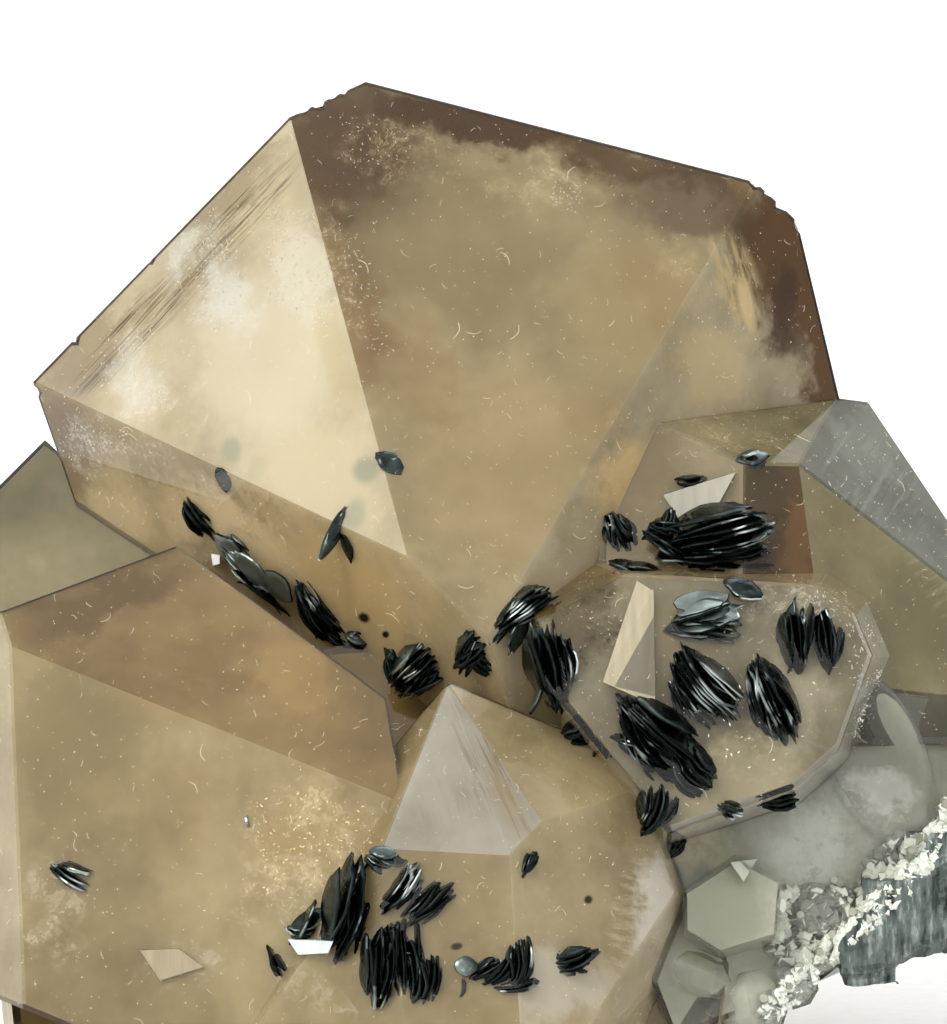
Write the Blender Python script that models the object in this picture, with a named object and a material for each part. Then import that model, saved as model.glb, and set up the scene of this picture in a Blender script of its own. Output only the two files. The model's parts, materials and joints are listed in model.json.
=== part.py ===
"""Smoky quartz cluster with hematite rosettes and a piece of dark rock, cut flat below."""
import math
import random

import bmesh
import bpy
from mathutils import Matrix, Vector
from mathutils.bvhtree import BVHTree

# Sizes are millimetres and angles degrees; MM turns a size into metres.
MM = 0.001
VIEW_TILT = 6.0          # the picture plane leans back by this much from upright
VIEW_DISTANCE = 500.0    # distance at which the picture plane is read
PICTURE_MIDDLE = (-1.567, -1.254, 36.0)   # middle of the picture plane; 36 is its height above the base
SEAT_GAP = 0.3           # clear gap left round every seated piece
BLOCK = 200.0            # edge of the block that each crystal is cut from

tilt = math.radians(VIEW_TILT)
AWAY = Vector((0.0, math.cos(tilt), -math.sin(tilt)))
RIGHT = Vector((1.0, 0.0, 0.0))
UP = Vector((0.0, math.sin(tilt), math.cos(tilt)))
MIDDLE = Vector(PICTURE_MIDDLE)
EYE = MIDDLE - AWAY * VIEW_DISTANCE


# Each crystal is a block cut by flat faces. A face goes through three points, and a point is
# right, up and away from the middle of the picture plane, in millimetres.
CRYSTALS = {
    "main": {
        "heart": (-2.61, 7.92, 10),
        "faces": {
            "centre": ((-11.04, 23.68, 5.7), (16.89, 19.8, 6.4), (-4.01, -2.72, -6)),
            "left": ((-11.04, 23.68, 5.7), (-4.01, -2.72, -6), (-26.43, 7.8, 12)),
            "below left": ((-26.43, 7.8, 12), (-4.01, -2.72, -6), (0.81, -7.5, -7.8)),
            "right": ((16.89, 19.8, 6.4), (3.81, -2.4, -5.2), (21.93, 6.9, 12.1)),
            "top back": ((-6.69, 25.86, 7.15), (16.89, 19.8, 6.4), (5.19, 15, 19.5)),
            "tip chip": ((-11.04, 23.68, 5.7), (-6.69, 25.86, 7.15), (-8.61, 21.12, 14)),
            "left back": ((-11.04, 23.68, 5.7), (-26.43, 7.8, 12), (-15.03, 10.62, 19)),
            "low left back": ((-26.43, 7.8, 12), (-22.83, -2.58, 16.1), (-20.01, 4.92, 24)),
            "right back": ((19.41, 17.52, 9), (21.93, 6.9, 12.1), (18.99, 10.92, 22)),
            "back": ((-10.41, 12.72, 26), (7.59, 12.72, 27), (-1.41, -2.88, 25)),
            "foot": ((-16.41, -23.28, 0), (13.59, -23.28, 0), (-1.41, -22.08, 20)),
        },
    },
    "grey left": {
        "heart": (-24.81, -2.88, 18),
        "faces": {
            "front": ((-25.71, 4.32, 17.5), (-32.01, -1.98, 16), (-26.01, -7.68, 11)),
            "top back": ((-25.71, 4.32, 17.5), (-32.01, -1.98, 16), (-26.01, 0.72, 25)),
            "left": ((-32.01, -1.98, 16), (-32.13, -10.08, 11), (-30.21, -5.28, 24)),
            "right top": ((-25.71, 4.32, 17.5), (-20.61, -0.48, 15), (-24.21, 2.52, 25)),
            "back": ((-28.41, 0.72, 24.5), (-22.41, 0.72, 24.5), (-26.01, -7.68, 22)),
            "right": ((-17.61, 0.72, 20), (-17.61, -5.28, 10), (-17.61, -5.28, 24)),
            "foot": ((-28.41, -14.88, 10), (-22.41, -14.88, 10), (-25.41, -13.68, 20)),
        },
    },
    "lower left": {
        "heart": (-17.61, -17.28, 0),
        "faces": {
            "upper": ((-17.61, -1.98, -1), (-28.41, -7.68, -5), (-7.41, -16.08, -12.3)),
            "front": ((-28.41, -7.68, -5), (-7.41, -16.08, -12.3), (-16.41, -29.28, -13)),
            "left": ((-27.39, -17.28, -7.7), (-27.21, -29.28, -10), (-30.81, -23.28, -2)),
            "far left": ((-32.01, -17.28, 6), (-32.01, -29.28, 3), (-30.21, -23.28, 16)),
            "top left back": ((-17.61, -1.98, -1), (-28.41, -6, -3.7), (-24.81, -7.68, 12)),
            "top right back": ((-17.61, -1.98, -1), (-14.01, -4.68, -3.2), (-12.81, -8.88, 10)),
            "right": ((-14.01, -4.68, -3.2), (-5.31, -10.68, -8.2), (-8.61, -11.28, 8)),
            "right low": ((-5.31, -10.68, -8.2), (-3.21, -23.28, -12), (-4.41, -17.28, 6)),
            "back": ((-28.41, -11.28, 15), (-10.41, -11.28, 12), (-22.41, -29.28, 14)),
            "under left": ((-32.01, -27.78, 5), (-26.01, -30.24, -9), (-28.41, -29.28, 14)),
            "foot": ((-28.41, -40.98, 0), (-10.41, -41.22, 0), (-22.41, -41.7, 20)),
        },
    },
    "lower centre": {
        "heart": (1.59, -23.28, -5),
        "faces": {
            "bright": ((-1.53, -10.2, -10), (-5.49, -20.1, -16.5), (2.25, -20.52, -17.5)),
            "striated": ((-1.53, -10.2, -10), (2.25, -20.52, -17.5), (4.17, -18.48, -15.3)),
            "slim left": ((-1.53, -10.2, -10), (-5.49, -20.1, -16.5), (-5.73, -17.28, -11)),
            "right upper": ((-1.53, -10.2, -10), (4.17, -18.48, -15.3), (9.99, -17.28, -10.5)),
            "front": ((-5.49, -20.1, -16.5), (2.25, -20.52, -17.5), (-1.41, -29.88, -19)),
            "front right": ((2.25, -20.52, -17.5), (4.17, -18.48, -15.3), (5.19, -29.88, -17.5)),
            "left low": ((-5.49, -20.1, -16.5), (-10.41, -23.28, -14.8), (-10.41, -29.28, -15.8)),
            "rim": ((9.99, -17.28, -10.5), (11.49, -22.08, -11.5), (12.99, -19.68, -2)),
            "rim low": ((11.49, -22.08, -11.5), (7.59, -29.88, -15.5), (13.59, -26.88, -4)),
            "top back": ((-1.53, -10.2, -10), (7.59, -13.98, -9.8), (3.99, -12.48, 4)),
            "left back": ((-1.53, -10.2, -10), (-5.91, -14.88, -9), (-4.41, -17.28, 4)),
            "back": ((-10.41, -17.28, 8), (7.59, -17.28, 8), (-1.41, -29.28, 8)),
            "foot": ((-28.41, -41.52, 0), (-10.41, -41.76, 0), (-22.41, -42.24, 20)),
        },
    },
    "clear right": {
        "heart": (13.59, -11.28, 0),
        "faces": {
            "front": ((7.59, -10.68, -11), (19.59, -7.68, -9.2), (14.79, -16.08, -11.4)),
            "front upper": ((7.59, -10.68, -11), (19.59, -7.68, -9.2), (13.59, -4.38, -7.6)),
            "upper left": ((3.03, -5.16, -2), (7.89, -2.88, -2), (6.09, -5.28, -8)),
            "top left": ((7.89, -2.88, -2), (13.59, -3.24, -2), (10.95, -3.96, -9)),
            "top": ((13.59, -3.24, -2), (20.79, -3.48, -2), (17.19, -4.2, -9)),
            "upper right": ((20.79, -3.48, -2), (23.31, -5.28, -2), (21.39, -5.16, -9)),
            "right top": ((23.31, -5.28, -2), (24.81, -8.58, -2), (23.31, -7.32, -9)),
            "right": ((24.81, -8.58, -2), (22.71, -15, -2), (22.89, -11.64, -9)),
            "lower right": ((22.71, -15, -2), (19.59, -18, -2), (20.49, -15.84, -9)),
            "bottom": ((19.59, -18, -2), (16.29, -19.2, -2), (17.55, -17.64, -9)),
            "lower left": ((16.29, -19.2, -2), (11.49, -21, -2), (13.47, -18.96, -10)),
            "left low": ((11.49, -21, -2), (4.29, -12, -2), (8.67, -15.84, -11)),
            "left": ((4.29, -12, -2), (2.79, -10.08, -2), (4.23, -10.56, -10)),
            "far left": ((2.79, -10.08, -2), (3.03, -5.16, -2), (3.87, -7.68, -9)),
            "back": ((7.59, -8.28, 9), (19.59, -8.28, 9), (13.59, -17.28, 9)),
        },
    },
    "upper right": {
        "heart": (19.59, -2.88, 8),
        "faces": {
            "dark": ((11.01, 5.46, 1.4), (16.29, 3, -1), (7.59, -1.68, -1.5)),
            "sparkling": ((11.01, 5.46, 1.4), (16.29, 3, -1), (21.75, 6.84, 12)),
            "red brown": ((16.29, 3, -1), (19.65, 2.88, 1.06), (20.49, -3.24, -1.5)),
            "light brown": ((19.65, 2.88, 1.06), (20.49, -3.24, -1.5), (28.41, -3.96, 5)),
            "etched": ((19.65, 2.88, 1.06), (21.75, 6.84, 12), (28.41, -3.96, 5)),
            "etched top": ((21.75, 6.84, 12), (23.67, 6.6, 15.1), (22.59, 4.92, 24)),
            "etched edge": ((23.67, 6.6, 15.1), (28.41, -0.48, 11.2), (25.59, 0.72, 24)),
            "top back": ((11.01, 5.46, 1.4), (21.75, 6.84, 12), (15.99, 5.52, 24)),
            "inner left": ((7.59, -1.68, -1.5), (7.59, -11.28, -1.5), (8.79, -1.68, 15)),
            "far right": ((32.19, -5.28, 9), (32.31, -14.28, 7), (30.99, -8.28, 18)),
            "back": ((13.59, 0.72, 23), (25.59, 0.72, 24), (19.59, -11.28, 22)),
            "foot": ((13.59, -13.98, 0), (25.59, -13.98, 0), (19.59, -13.68, 20)),
        },
    },
    "grey mass": {
        "heart": (22.59, -20.88, 8),
        "faces": {
            "front": ((13.59, -23.28, -8.5), (24.39, -19.68, -5), (17.19, -29.88, -9)),
            "upper": ((17.19, -19.08, -6), (24.69, -10.68, -2.2), (27.39, -16.68, -2.5)),
            "right front": ((24.69, -10.68, -2.2), (27.39, -16.68, -2.5), (31.59, -14.88, 2.5)),
            "right": ((34.59, -11.28, 9), (34.95, -19.68, 9), (33.39, -14.88, 20)),
            "top right": ((27.39, -10.68, 2), (34.59, -11.28, 9), (31.59, -7.68, 20)),
            "top": ((13.59, -10.08, 0), (24.69, -10.68, -2.2), (19.59, -7.68, 20)),
            "under": ((17.79, -30.72, -6), (22.59, -27.36, -1), (22.59, -29.28, 14)),
            "under right": ((22.59, -27.36, -1), (33.99, -22.68, 8), (28.59, -24.78, 20)),
            "left low": ((9.99, -26.88, -5), (12.39, -32.88, -8), (10.59, -29.28, 4)),
            "left": ((9.99, -11.28, 0), (9.99, -23.28, 0), (10.29, -17.28, 20)),
            "back": ((13.59, -17.28, 22), (31.59, -17.28, 22), (22.59, -29.28, 18)),
        },
    },
    "small hexagon": {
        "heart": (15.69, -23.58, -4),
        "faces": {
            "front": ((13.59, -23.28, -9.6), (17.79, -22.98, -9), (15.39, -25.68, -10)),
            "upper left": ((12.51, -22.68, -8), (15.69, -20.58, -7), (13.29, -21.48, -3)),
            "upper right": ((15.69, -20.58, -7), (18.69, -22.08, -6.5), (17.49, -21, -2)),
            "right": ((18.69, -22.08, -6.5), (18.39, -25.68, -7.5), (19.11, -23.88, -2)),
            "low right": ((18.39, -25.68, -7.5), (14.79, -26.76, -8.5), (16.89, -26.88, -3)),
            "low left": ((14.79, -26.76, -8.5), (12.57, -25.38, -8.5), (13.47, -26.58, -4)),
            "left": ((12.57, -25.38, -8.5), (12.51, -22.68, -8), (12.27, -24, -3)),
            "back": ((13.59, -23.28, 2), (17.79, -23.28, 2), (15.39, -25.68, 2)),
        },
    },
    "root": {
        "heart": (-1.41, -25.68, 8),
        "faces": {
            "front": ((-10.41, -11.28, 0), (7.59, -11.28, -1), (-1.41, -32.28, -9)),
            "left": ((-29.61, -14.88, 12), (-27.81, -31.68, 3), (-29.01, -23.28, 18)),
            "left back": ((-29.01, -23.28, 16), (-26.61, -32.88, 14), (-21.81, -23.28, 25)),
            "right": ((17.79, -17.28, 8), (15.99, -29.28, 0), (18.39, -23.28, 16)),
            "right back": ((18.09, -19.68, 13), (13.59, -32.28, 12), (9.99, -20.28, 24)),
            "top": ((-24.81, -11.28, 10), (13.59, -7.68, 10), (-10.41, -12.48, 24)),
            "back": ((-22.41, -17.28, 25), (7.59, -14.88, 27), (-7.41, -29.28, 21)),
            "back low": ((-19.41, -28.08, 21), (4.59, -26.88, 22), (-7.41, -35.28, 14)),
            "foot": ((-28.41, -40.38, 0), (-10.41, -40.08, 0), (-22.41, -40.68, 20)),
        },
    },
}


def place(point):
    right, up, depth = point
    spread = (VIEW_DISTANCE + depth) / VIEW_DISTANCE
    return (MIDDLE + RIGHT * right * spread + UP * up * spread + AWAY * depth) * MM


def cutBlock(faces, heart, grow=0.0):
    """A block cut by every face, each moved outward by grow."""
    inside = place(heart)
    bm = bmesh.new()
    bmesh.ops.create_cube(bm, size=BLOCK * MM, matrix=Matrix.Translation(inside))
    for name, corners in faces.items():
        a, b, c = (place(p) for p in corners)
        outward = (b - a).cross(c - a).normalized()
        if outward.dot(inside - a) > 0.0:
            outward.negate()
        cut = bmesh.ops.bisect_plane(
            bm, geom=bm.verts[:] + bm.edges[:] + bm.faces[:], dist=1e-7,
            plane_co=a + outward * grow * MM, plane_no=outward, clear_outer=True)
        rim = [g for g in cut["geom_cut"] if isinstance(g, bmesh.types.BMEdge)]
        if rim:
            bmesh.ops.contextual_create(bm, geom=rim)
        else:
            print("unused face", name)
    bmesh.ops.remove_doubles(bm, verts=bm.verts[:], dist=1e-6)
    bmesh.ops.recalc_face_normals(bm, faces=bm.faces[:])
    return bm


# Dark rock at the right, cut like the crystals.
MATRIX = {
    "heart": (28.59, -22.68, 4),
    "faces": {
        "front": ((24.39, -23.28, -6.5), (31.59, -20.28, 0), (25.59, -26.88, -5.5)),
        "top left": ((21.87, -25.68, -7), (25.89, -21.36, -5), (23.79, -23.58, 10)),
        "top": ((25.89, -21.36, -5), (33.99, -16.68, 3), (30.39, -18.48, 14)),
        "right": ((34.95, -17.28, 6), (34.71, -22.68, 6), (34.83, -19.68, 16)),
        "left": ((21.87, -25.68, -7), (22.11, -27.84, -5), (22.35, -26.88, 10)),
        "under": ((22.11, -27.84, -5), (25.11, -27.72, -5), (23.79, -27.96, 10)),
        "under right": ((25.11, -27.72, -5), (28.41, -25.68, -2), (26.79, -26.58, 12)),
        "under far": ((28.41, -25.68, -2), (34.59, -22.68, 6), (31.59, -24.18, 16)),
        "back": ((24.39, -23.28, 12), (31.59, -20.28, 14), (25.59, -26.88, 10)),
    },
}


# One stack of hematite plates: place in the picture, length along the plates, height across
# them, their angle from level, how many there are, how far they turn to the viewer, how much
# they fan out, how deep the stack sits and how thick it is from front to back.
def stack(right, up, length, height, angle, plates, turn=20, fan=14, seat=0.2, deep=0.6):
    return {"right": right, "up": up, "length": length, "height": height, "angle": angle,
            "plates": plates, "turn": turn, "fan": fan, "seat": seat, "deep": deep}


ROSETTES = {
    "upper_left_flake_inclusion": [stack(-14.97, 2.76, 3.12, 1.08, 62, 2, seat=1.6)],
    "centre_edge_inclusion": [stack(-4.95, 2.82, 2.16, 1.32, -35, 3, seat=1.3)],
    "blade_inclusion": [stack(-7.95, -1.08, 3.72, 0.96, 62, 2, seat=1.2)],
    "left_lens_rosette": [stack(-16.41, -0.42, 3.48, 1.2, -45, 3)],
    "left_grey_plate_cluster": [
        stack(-14.01, -2.4, 3, 2.04, -35, 3, turn=40),
        stack(-12.33, -3.84, 3.72, 1.56, -32, 3, turn=50),
    ],
    "left_blade_rosette": [stack(-9.15, -6.12, 5.04, 2.04, -52, 4)],
    "left_end_flake": [stack(-6.87, -7.62, 1.62, 1.2, -15, 2)],
    "middle_curved_rosette": [stack(-2.97, -9.3, 4.68, 3, 40, 5, fan=24)],
    "middle_needle_rosette": [
        stack(0.03, -8.28, 2.88, 2.16, 60, 3, turn=30),
        stack(2.61, -6, 4.68, 1.92, 33, 4),
    ],
    "middle_upright_rosette": [stack(4.59, -9.3, 5.16, 2.88, 97, 5)],
    "middle_small_rosette": [
        stack(6.21, -13.5, 3, 1.8, 12, 3),
        stack(7.47, -15, 2.04, 1.2, 70, 2),
    ],
    "upper_round_rosette": [stack(8.7, -1.2, 2.64, 1.8, -62, 3)],
    "upper_large_fan": [
        stack(14.73, -1.74, 6.72, 4.32, 8, 6, fan=20),
        stack(11.4, -1.26, 2.4, 1.8, -20, 3),
    ],
    "upper_thin_blade": [stack(9.81, -3.42, 3.6, 0.78, -16, 2)],
    "upper_edge_flake": [stack(12.99, 1.8, 2.28, 0.84, 4, 2)],
    "upper_silver_flake": [stack(16.65, 3.12, 2.04, 1.2, 4, 2, turn=35)],
    "right_textured_flake": [stack(16.29, -4.68, 2.4, 1.44, -35, 2, turn=45)],
    "right_silver_rosette": [stack(13.95, -6.36, 4.44, 2.64, 12, 4, turn=45)],
    "right_diagonal_rosette": [stack(13.71, -10.38, 5.4, 3.12, -50, 5)],
    "right_upright_lens": [stack(17.91, -11.28, 5.16, 2.76, -68, 5)],
    "right_double_rosette": [
        stack(19.35, -7.44, 4.56, 2.16, 90, 4),
        stack(21.15, -7.98, 4.08, 1.56, 94, 3),
    ],
    "lower_right_large_fan": [
        stack(10.77, -13.44, 6.24, 3.6, -48, 5, fan=26),
        stack(12.87, -15.78, 3, 1.92, -48, 3, turn=40),
    ],
    "lower_right_fan": [stack(10.95, -17.88, 3.24, 2.28, 66, 4, fan=28)],
    "right_striped_flake": [stack(15.45, -17.82, 1.68, 1.08, -25, 2)],
    "right_long_flake": [stack(18.27, -17.22, 2.88, 1.08, 12, 2)],
    "lower_right_end_flake": [stack(12.15, -20.16, 2.04, 0.78, 50, 2)],
    "lower_plate_rosette": [stack(-9.75, -25.08, 3.12, 1.92, 16, 3, turn=40)],
    "lower_upright_blades": [stack(-7.71, -24, 6.36, 2.28, 74, 4)],
    "lower_grey_flake": [stack(-5.37, -20.82, 2.64, 1.2, -15, 2, turn=40)],
    "lower_diagonal_rosette": [
        stack(-3.99, -22.4, 2.88, 1.44, 52, 3),
        stack(-2.85, -23.4, 4.08, 1.44, 38, 3),
    ],
    "lower_stacked_rosette": [stack(-5.25, -27.18, 5.04, 3, 86, 5)],
    "lower_small_stack": [stack(-2.61, -28.14, 3, 1.32, 82, 2)],
    "lower_left_sliver": [stack(-11.79, -27.12, 2.28, 0.72, -55, 2)],
    "lower_grey_disc": [stack(-0.66, -27.42, 1.62, 0.72, 0, 2, turn=70, seat=0.4)],
    "lower_right_blades": [
        stack(0.93, -27.48, 2.52, 1.2, 30, 2),
        stack(2.79, -27.24, 3.24, 1.68, 80, 3),
    ],
    "lower_right_sliver": [stack(5.67, -26.82, 3.84, 1.08, 14, 2)],
    "lower_leaf_flake": [stack(3.09, -21.24, 2.64, 0.84, 52, 2, seat=0.5)],
    "left_face_rosette": [stack(-24.09, -21.72, 3.12, 1.44, -24, 3)],
    "left_face_speck": [stack(-13.59, -18.54, 1.08, 0.36, -72, 1)],
}
# Small grey crystals along the break: right, up, width and height.
DRUSE = (
    (28.23, -17.64, 1.6, 3), (27.15, -19.56, 1.8, 3.2), (26.07, -21, 1.4, 2.6),
    (25.17, -22.32, 1.7, 3), (24.03, -23.4, 1.3, 2.4), (23.07, -24.6, 1.8, 2.8),
    (21.75, -25.32, 1.5, 2.8), (20.67, -26.4, 1.3, 2.2), (19.59, -27.36, 1.8, 3),
    (18.51, -28.32, 1.3, 2.4), (17.43, -29.28, 1.7, 2.8), (29.19, -16.08, 1.5, 2.6),
    (30.69, -15.18, 1.9, 3), (32.31, -14.16, 1.4, 2.4), (22.11, -22.32, 1.4, 2.4),
    (19.95, -24.36, 1.5, 2.6),
)
# Rounded swellings of the grey mass: right, up, half width, half height, angle from upright, how far
# the middle sinks in and half depth.
LOBES = (
    (23.3, -16.2, 4.4, 7.0, -14, 1.9, 2.6), (20.3, -24.3, 2.8, 2.3, 20, 1.2, 2.0),
    (13.2, -27.9, 2.8, 2.0, 24, 1.0, 1.7), (16.6, -29.6, 2.3, 2.8, -12, 1.2, 1.9),
    (18.9, -28.2, 2.0, 1.6, 30, 1.0, 1.5), (31.0, -11.6, 4.0, 4.4, 30, 2.2, 3.2),
)
LOBE_SIDES = 10           # sides of a swelling round its middle
# Broken lumps of the back, placed from behind: right, up, size and how far they sink in.
BACK_LUMPS = (
    (-20, -10, 11, 4.0), (-10, -16, 13, 5.0), (2, -12, 12, 4.5), (12, -18, 11, 4.0),
    (-24, -22, 10, 3.5), (-3, -25, 12, 4.5), (20, -8, 10, 4.0), (26, -16, 11, 4.5),
)
# Lumps of the dark rock: right, up, away and size.
MATRIX_LUMPS = (
    (23.67, -26.16, -3.5, 3.2), (25.89, -24.18, -3, 4.2), (27.99, -22.08, -2, 4.8),
    (31.59, -20.76, 1.5, 5.2), (29.19, -23.28, 4, 5.5),
)
PLATE = 0.26              # thickness of one hematite plate
CORNERS = 6               # corners of a plate's outline
SEAT_ROOM = 1.155         # a six-sided seat is this much wider than the round it must clear


def newObject(name, bm, home):
    mesh = bpy.data.meshes.new(name)
    bm.to_mesh(mesh)
    bm.free()
    item = bpy.data.objects.new(name, mesh)
    home.objects.link(item)
    return item


def combine(item, operation, tools=None, tool=None):
    """Joins to, or takes from, item one tool or everything in the collection tools."""
    change = item.modifiers.new(operation.lower(), "BOOLEAN")
    change.operation = operation
    change.solver = "EXACT"
    if tools:
        change.operand_type = "COLLECTION"
        change.collection = tools
    else:
        change.object = tool
    bpy.context.view_layer.update()
    graph = bpy.context.evaluated_depsgraph_get()
    result = bpy.data.meshes.new_from_object(item.evaluated_get(graph))
    item.modifiers.clear()
    item.data = result
    result.name = item.name


def joinAll(item, tools):
    combine(item, "UNION", tools=tools)
    for used in list(tools.objects):
        bpy.data.objects.remove(used, do_unlink=True)


def largestBody(item):
    """Keeps only the largest connected body of item."""
    bm = bmesh.new()
    bm.from_mesh(item.data)
    bmesh.ops.remove_doubles(bm, verts=bm.verts[:], dist=2e-6)
    bmesh.ops.dissolve_degenerate(bm, edges=bm.edges[:], dist=2e-6)
    left = set(bm.verts)
    groups = []
    while left:
        group = []
        queue = [left.pop()]
        while queue:
            v = queue.pop()
            group.append(v)
            for e in v.link_edges:
                other = e.other_vert(v)
                if other in left:
                    left.remove(other)
                    queue.append(other)
        groups.append(group)
    groups.sort(key=len, reverse=True)
    for group in groups[1:]:
        bmesh.ops.delete(bm, geom=group, context="VERTS")
    print(item.name, "bodies", len(groups))
    bm.to_mesh(item.data)
    bm.free()


def plateFrame(fan, middle):
    """Axes of a plate stack: along the plates, across the stack, and into the picture."""
    angle = math.radians(fan["angle"])
    along = RIGHT * math.cos(angle) + UP * math.sin(angle)
    across = UP * math.cos(angle) - RIGHT * math.sin(angle)
    turn = Matrix.Rotation(math.radians(fan["turn"]), 3, along)
    across = turn @ across
    inward = across.cross(along)
    frame = Matrix((along, inward, across)).transposed().to_4x4()
    frame.translation = middle
    return frame


def prism(half, deep, height, corners, twist=0.0):
    bm = bmesh.new()
    bmesh.ops.create_cone(bm, cap_ends=True, cap_tris=False, segments=corners, radius1=1.0, radius2=1.0,
                          depth=1.0, matrix=Matrix.Rotation(twist, 4, "Z"))
    bmesh.ops.scale(bm, vec=(half, deep, height), verts=bm.verts[:])
    return bm


def bridge(start, end, half):
    """A short bar that joins two stacks grown into each other."""
    bm = prism(half, half, (end - start).length + half, 4, 0.4)
    turn = Vector((0, 0, 1)).rotation_difference(end - start).to_matrix().to_4x4()
    turn.translation = (start + end) / 2
    bmesh.ops.transform(bm, matrix=turn, verts=bm.verts[:])
    return bm


def hematiteFan(fan, middle, rng):
    """Plates of one stack and the core that holds them together."""
    frame = plateFrame(fan, middle)
    half = fan["length"] * MM / 2
    stack = fan["height"] * MM
    count = fan["plates"]
    thick = min(PLATE * MM, stack / (count * 1.5))
    bodies = []
    rise = (stack - thick) / 2 * 0.8
    splay = math.radians(fan["fan"] * 0.5)
    if count == 2:
        rise *= 0.6
        splay = math.asin(min(0.9, rise / (half * 0.55)))
    for n in range(count):
        s = (n - (count - 1) / 2) / max(0.5, (count - 1) / 2)
        size = half * (1 - 0.22 * s * s) * rng.uniform(0.92, 1.0)
        bm = prism(size, size * fan["deep"], thick, CORNERS, rng.uniform(0, 6.28))
        spread = Matrix.Rotation(-splay * s, 4, "Y") @ Matrix.Rotation(rng.uniform(-0.08, 0.08), 4, "X")
        lift = Matrix.Translation((rng.uniform(-0.04, 0.04) * half, 0, s * rise))
        bmesh.ops.transform(bm, matrix=frame @ lift @ spread, verts=bm.verts[:])
        bodies.append(bm)
    if count > 2:
        core = prism(half * 0.45, half * fan["deep"] * 0.45, stack * 0.76, 4, 0.3)
        bmesh.ops.transform(core, matrix=frame, verts=core.verts[:])
        bodies.append(core)
    return bodies, frame


def onFace(tree, x, y, sink):
    """The point below the face that the picture shows at x and y."""
    sight = (place((x, y, 0.0)) - EYE * MM).normalized()
    hit = tree.ray_cast(EYE * MM, sight)[0]
    return hit + AWAY * sink * MM


def onBack(tree, right, up, sink):
    """The point below the face that is seen from behind at right and up."""
    start = (MIDDLE + RIGHT * right + UP * up + AWAY * 100) * MM
    hit = tree.ray_cast(start, -AWAY)[0]
    return hit - AWAY * sink * MM


def lobe(middle, wide, high, angle, deep):
    """A rounded swelling, leaning by angle in the picture plane."""
    bm = bmesh.new()
    bmesh.ops.create_uvsphere(bm, u_segments=LOBE_SIDES, v_segments=LOBE_SIDES // 2, radius=MM)
    bmesh.ops.scale(bm, vec=(wide, deep, high), verts=bm.verts[:])
    turn = Matrix((RIGHT, AWAY, UP)).transposed().to_4x4() @ Matrix.Rotation(math.radians(angle), 4, "Y")
    turn.translation = middle
    bmesh.ops.transform(bm, matrix=turn, verts=bm.verts[:])
    return bm


def lump(middle, size, rng, grow=0.0):
    """A broken piece: a block cut by a few faces at seeded angles."""
    bm = bmesh.new()
    bmesh.ops.create_cube(bm, size=(size * 1.3 + 2 * grow) * MM, matrix=Matrix.Translation(middle))
    for n in range(7):
        way = Vector((rng.gauss(0, 1), rng.gauss(0, 1), rng.gauss(0, 1))).normalized()
        cut = bmesh.ops.bisect_plane(
            bm, geom=bm.verts[:] + bm.edges[:] + bm.faces[:], dist=1e-7,
            plane_co=middle + way * (size * rng.uniform(0.42, 0.55) + grow) * MM, plane_no=way,
            clear_outer=True)
        rim = [g for g in cut["geom_cut"] if isinstance(g, bmesh.types.BMEdge)]
        if rim:
            bmesh.ops.contextual_create(bm, geom=rim)
    bmesh.ops.remove_doubles(bm, verts=bm.verts[:], dist=1e-5)
    bmesh.ops.recalc_face_normals(bm, faces=bm.faces[:])
    return bm


def point(middle, width, height, rng):
    """A small six-sided crystal with a blunt tip, leaning out of the face."""
    bm = bmesh.new()
    bmesh.ops.create_cone(bm, cap_ends=True, cap_tris=False, segments=6, radius1=width / 2 * MM,
                          radius2=width * 0.16 * MM, depth=height * MM)
    lean = (-AWAY + UP * rng.uniform(-0.2, 0.7) + RIGHT * rng.uniform(-0.5, 0.5)).normalized()
    turn = Vector((0, 0, 1)).rotation_difference(lean).to_matrix().to_4x4()
    turn.translation = middle
    bmesh.ops.transform(bm, matrix=turn, verts=bm.verts[:])
    return bm


def sightTree(blocks):
    """Search tree over the faces of every block."""
    corners = []
    faces = []
    for bm in blocks:
        first = len(corners)
        bm.verts.index_update()
        corners += [v.co.copy() for v in bm.verts]
        faces += [[v.index + first for v in f.verts] for f in bm.faces]
    return BVHTree.FromPolygons(corners, faces)


def tidyMesh(bm):
    bmesh.ops.remove_doubles(bm, verts=bm.verts[:], dist=2e-6)
    bmesh.ops.dissolve_degenerate(bm, edges=bm.edges[:], dist=2e-6)
    bmesh.ops.triangulate(bm, faces=bm.faces[:])


def flatBase(item):
    """Cuts item off flat at the height of the base."""
    bm = bmesh.new()
    bm.from_mesh(item.data)
    tidyMesh(bm)
    cut = bmesh.ops.bisect_plane(
        bm, geom=bm.verts[:] + bm.edges[:] + bm.faces[:], dist=1e-7,
        plane_co=(0, 0, 0), plane_no=(0, 0, -1), clear_outer=True)
    rim = [g for g in cut["geom_cut"] if isinstance(g, bmesh.types.BMEdge)]
    bmesh.ops.triangle_fill(bm, use_beauty=True, edges=rim)
    bmesh.ops.recalc_face_normals(bm, faces=bm.faces[:])
    bm.to_mesh(item.data)
    bm.free()


def material(name, color, metallic, roughness, clear):
    """A plain Principled material; clear is the share of light let through."""
    item = bpy.data.materials.new(name)
    item.use_nodes = True
    shader = item.node_tree.nodes["Principled BSDF"]
    shader.inputs["Base Color"].default_value = (*color, 1.0)
    shader.inputs["Metallic"].default_value = metallic
    shader.inputs["Roughness"].default_value = roughness
    shader.inputs["Transmission Weight"].default_value = clear
    shader.inputs["IOR"].default_value = 1.544 if clear else 1.5
    return item


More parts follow.
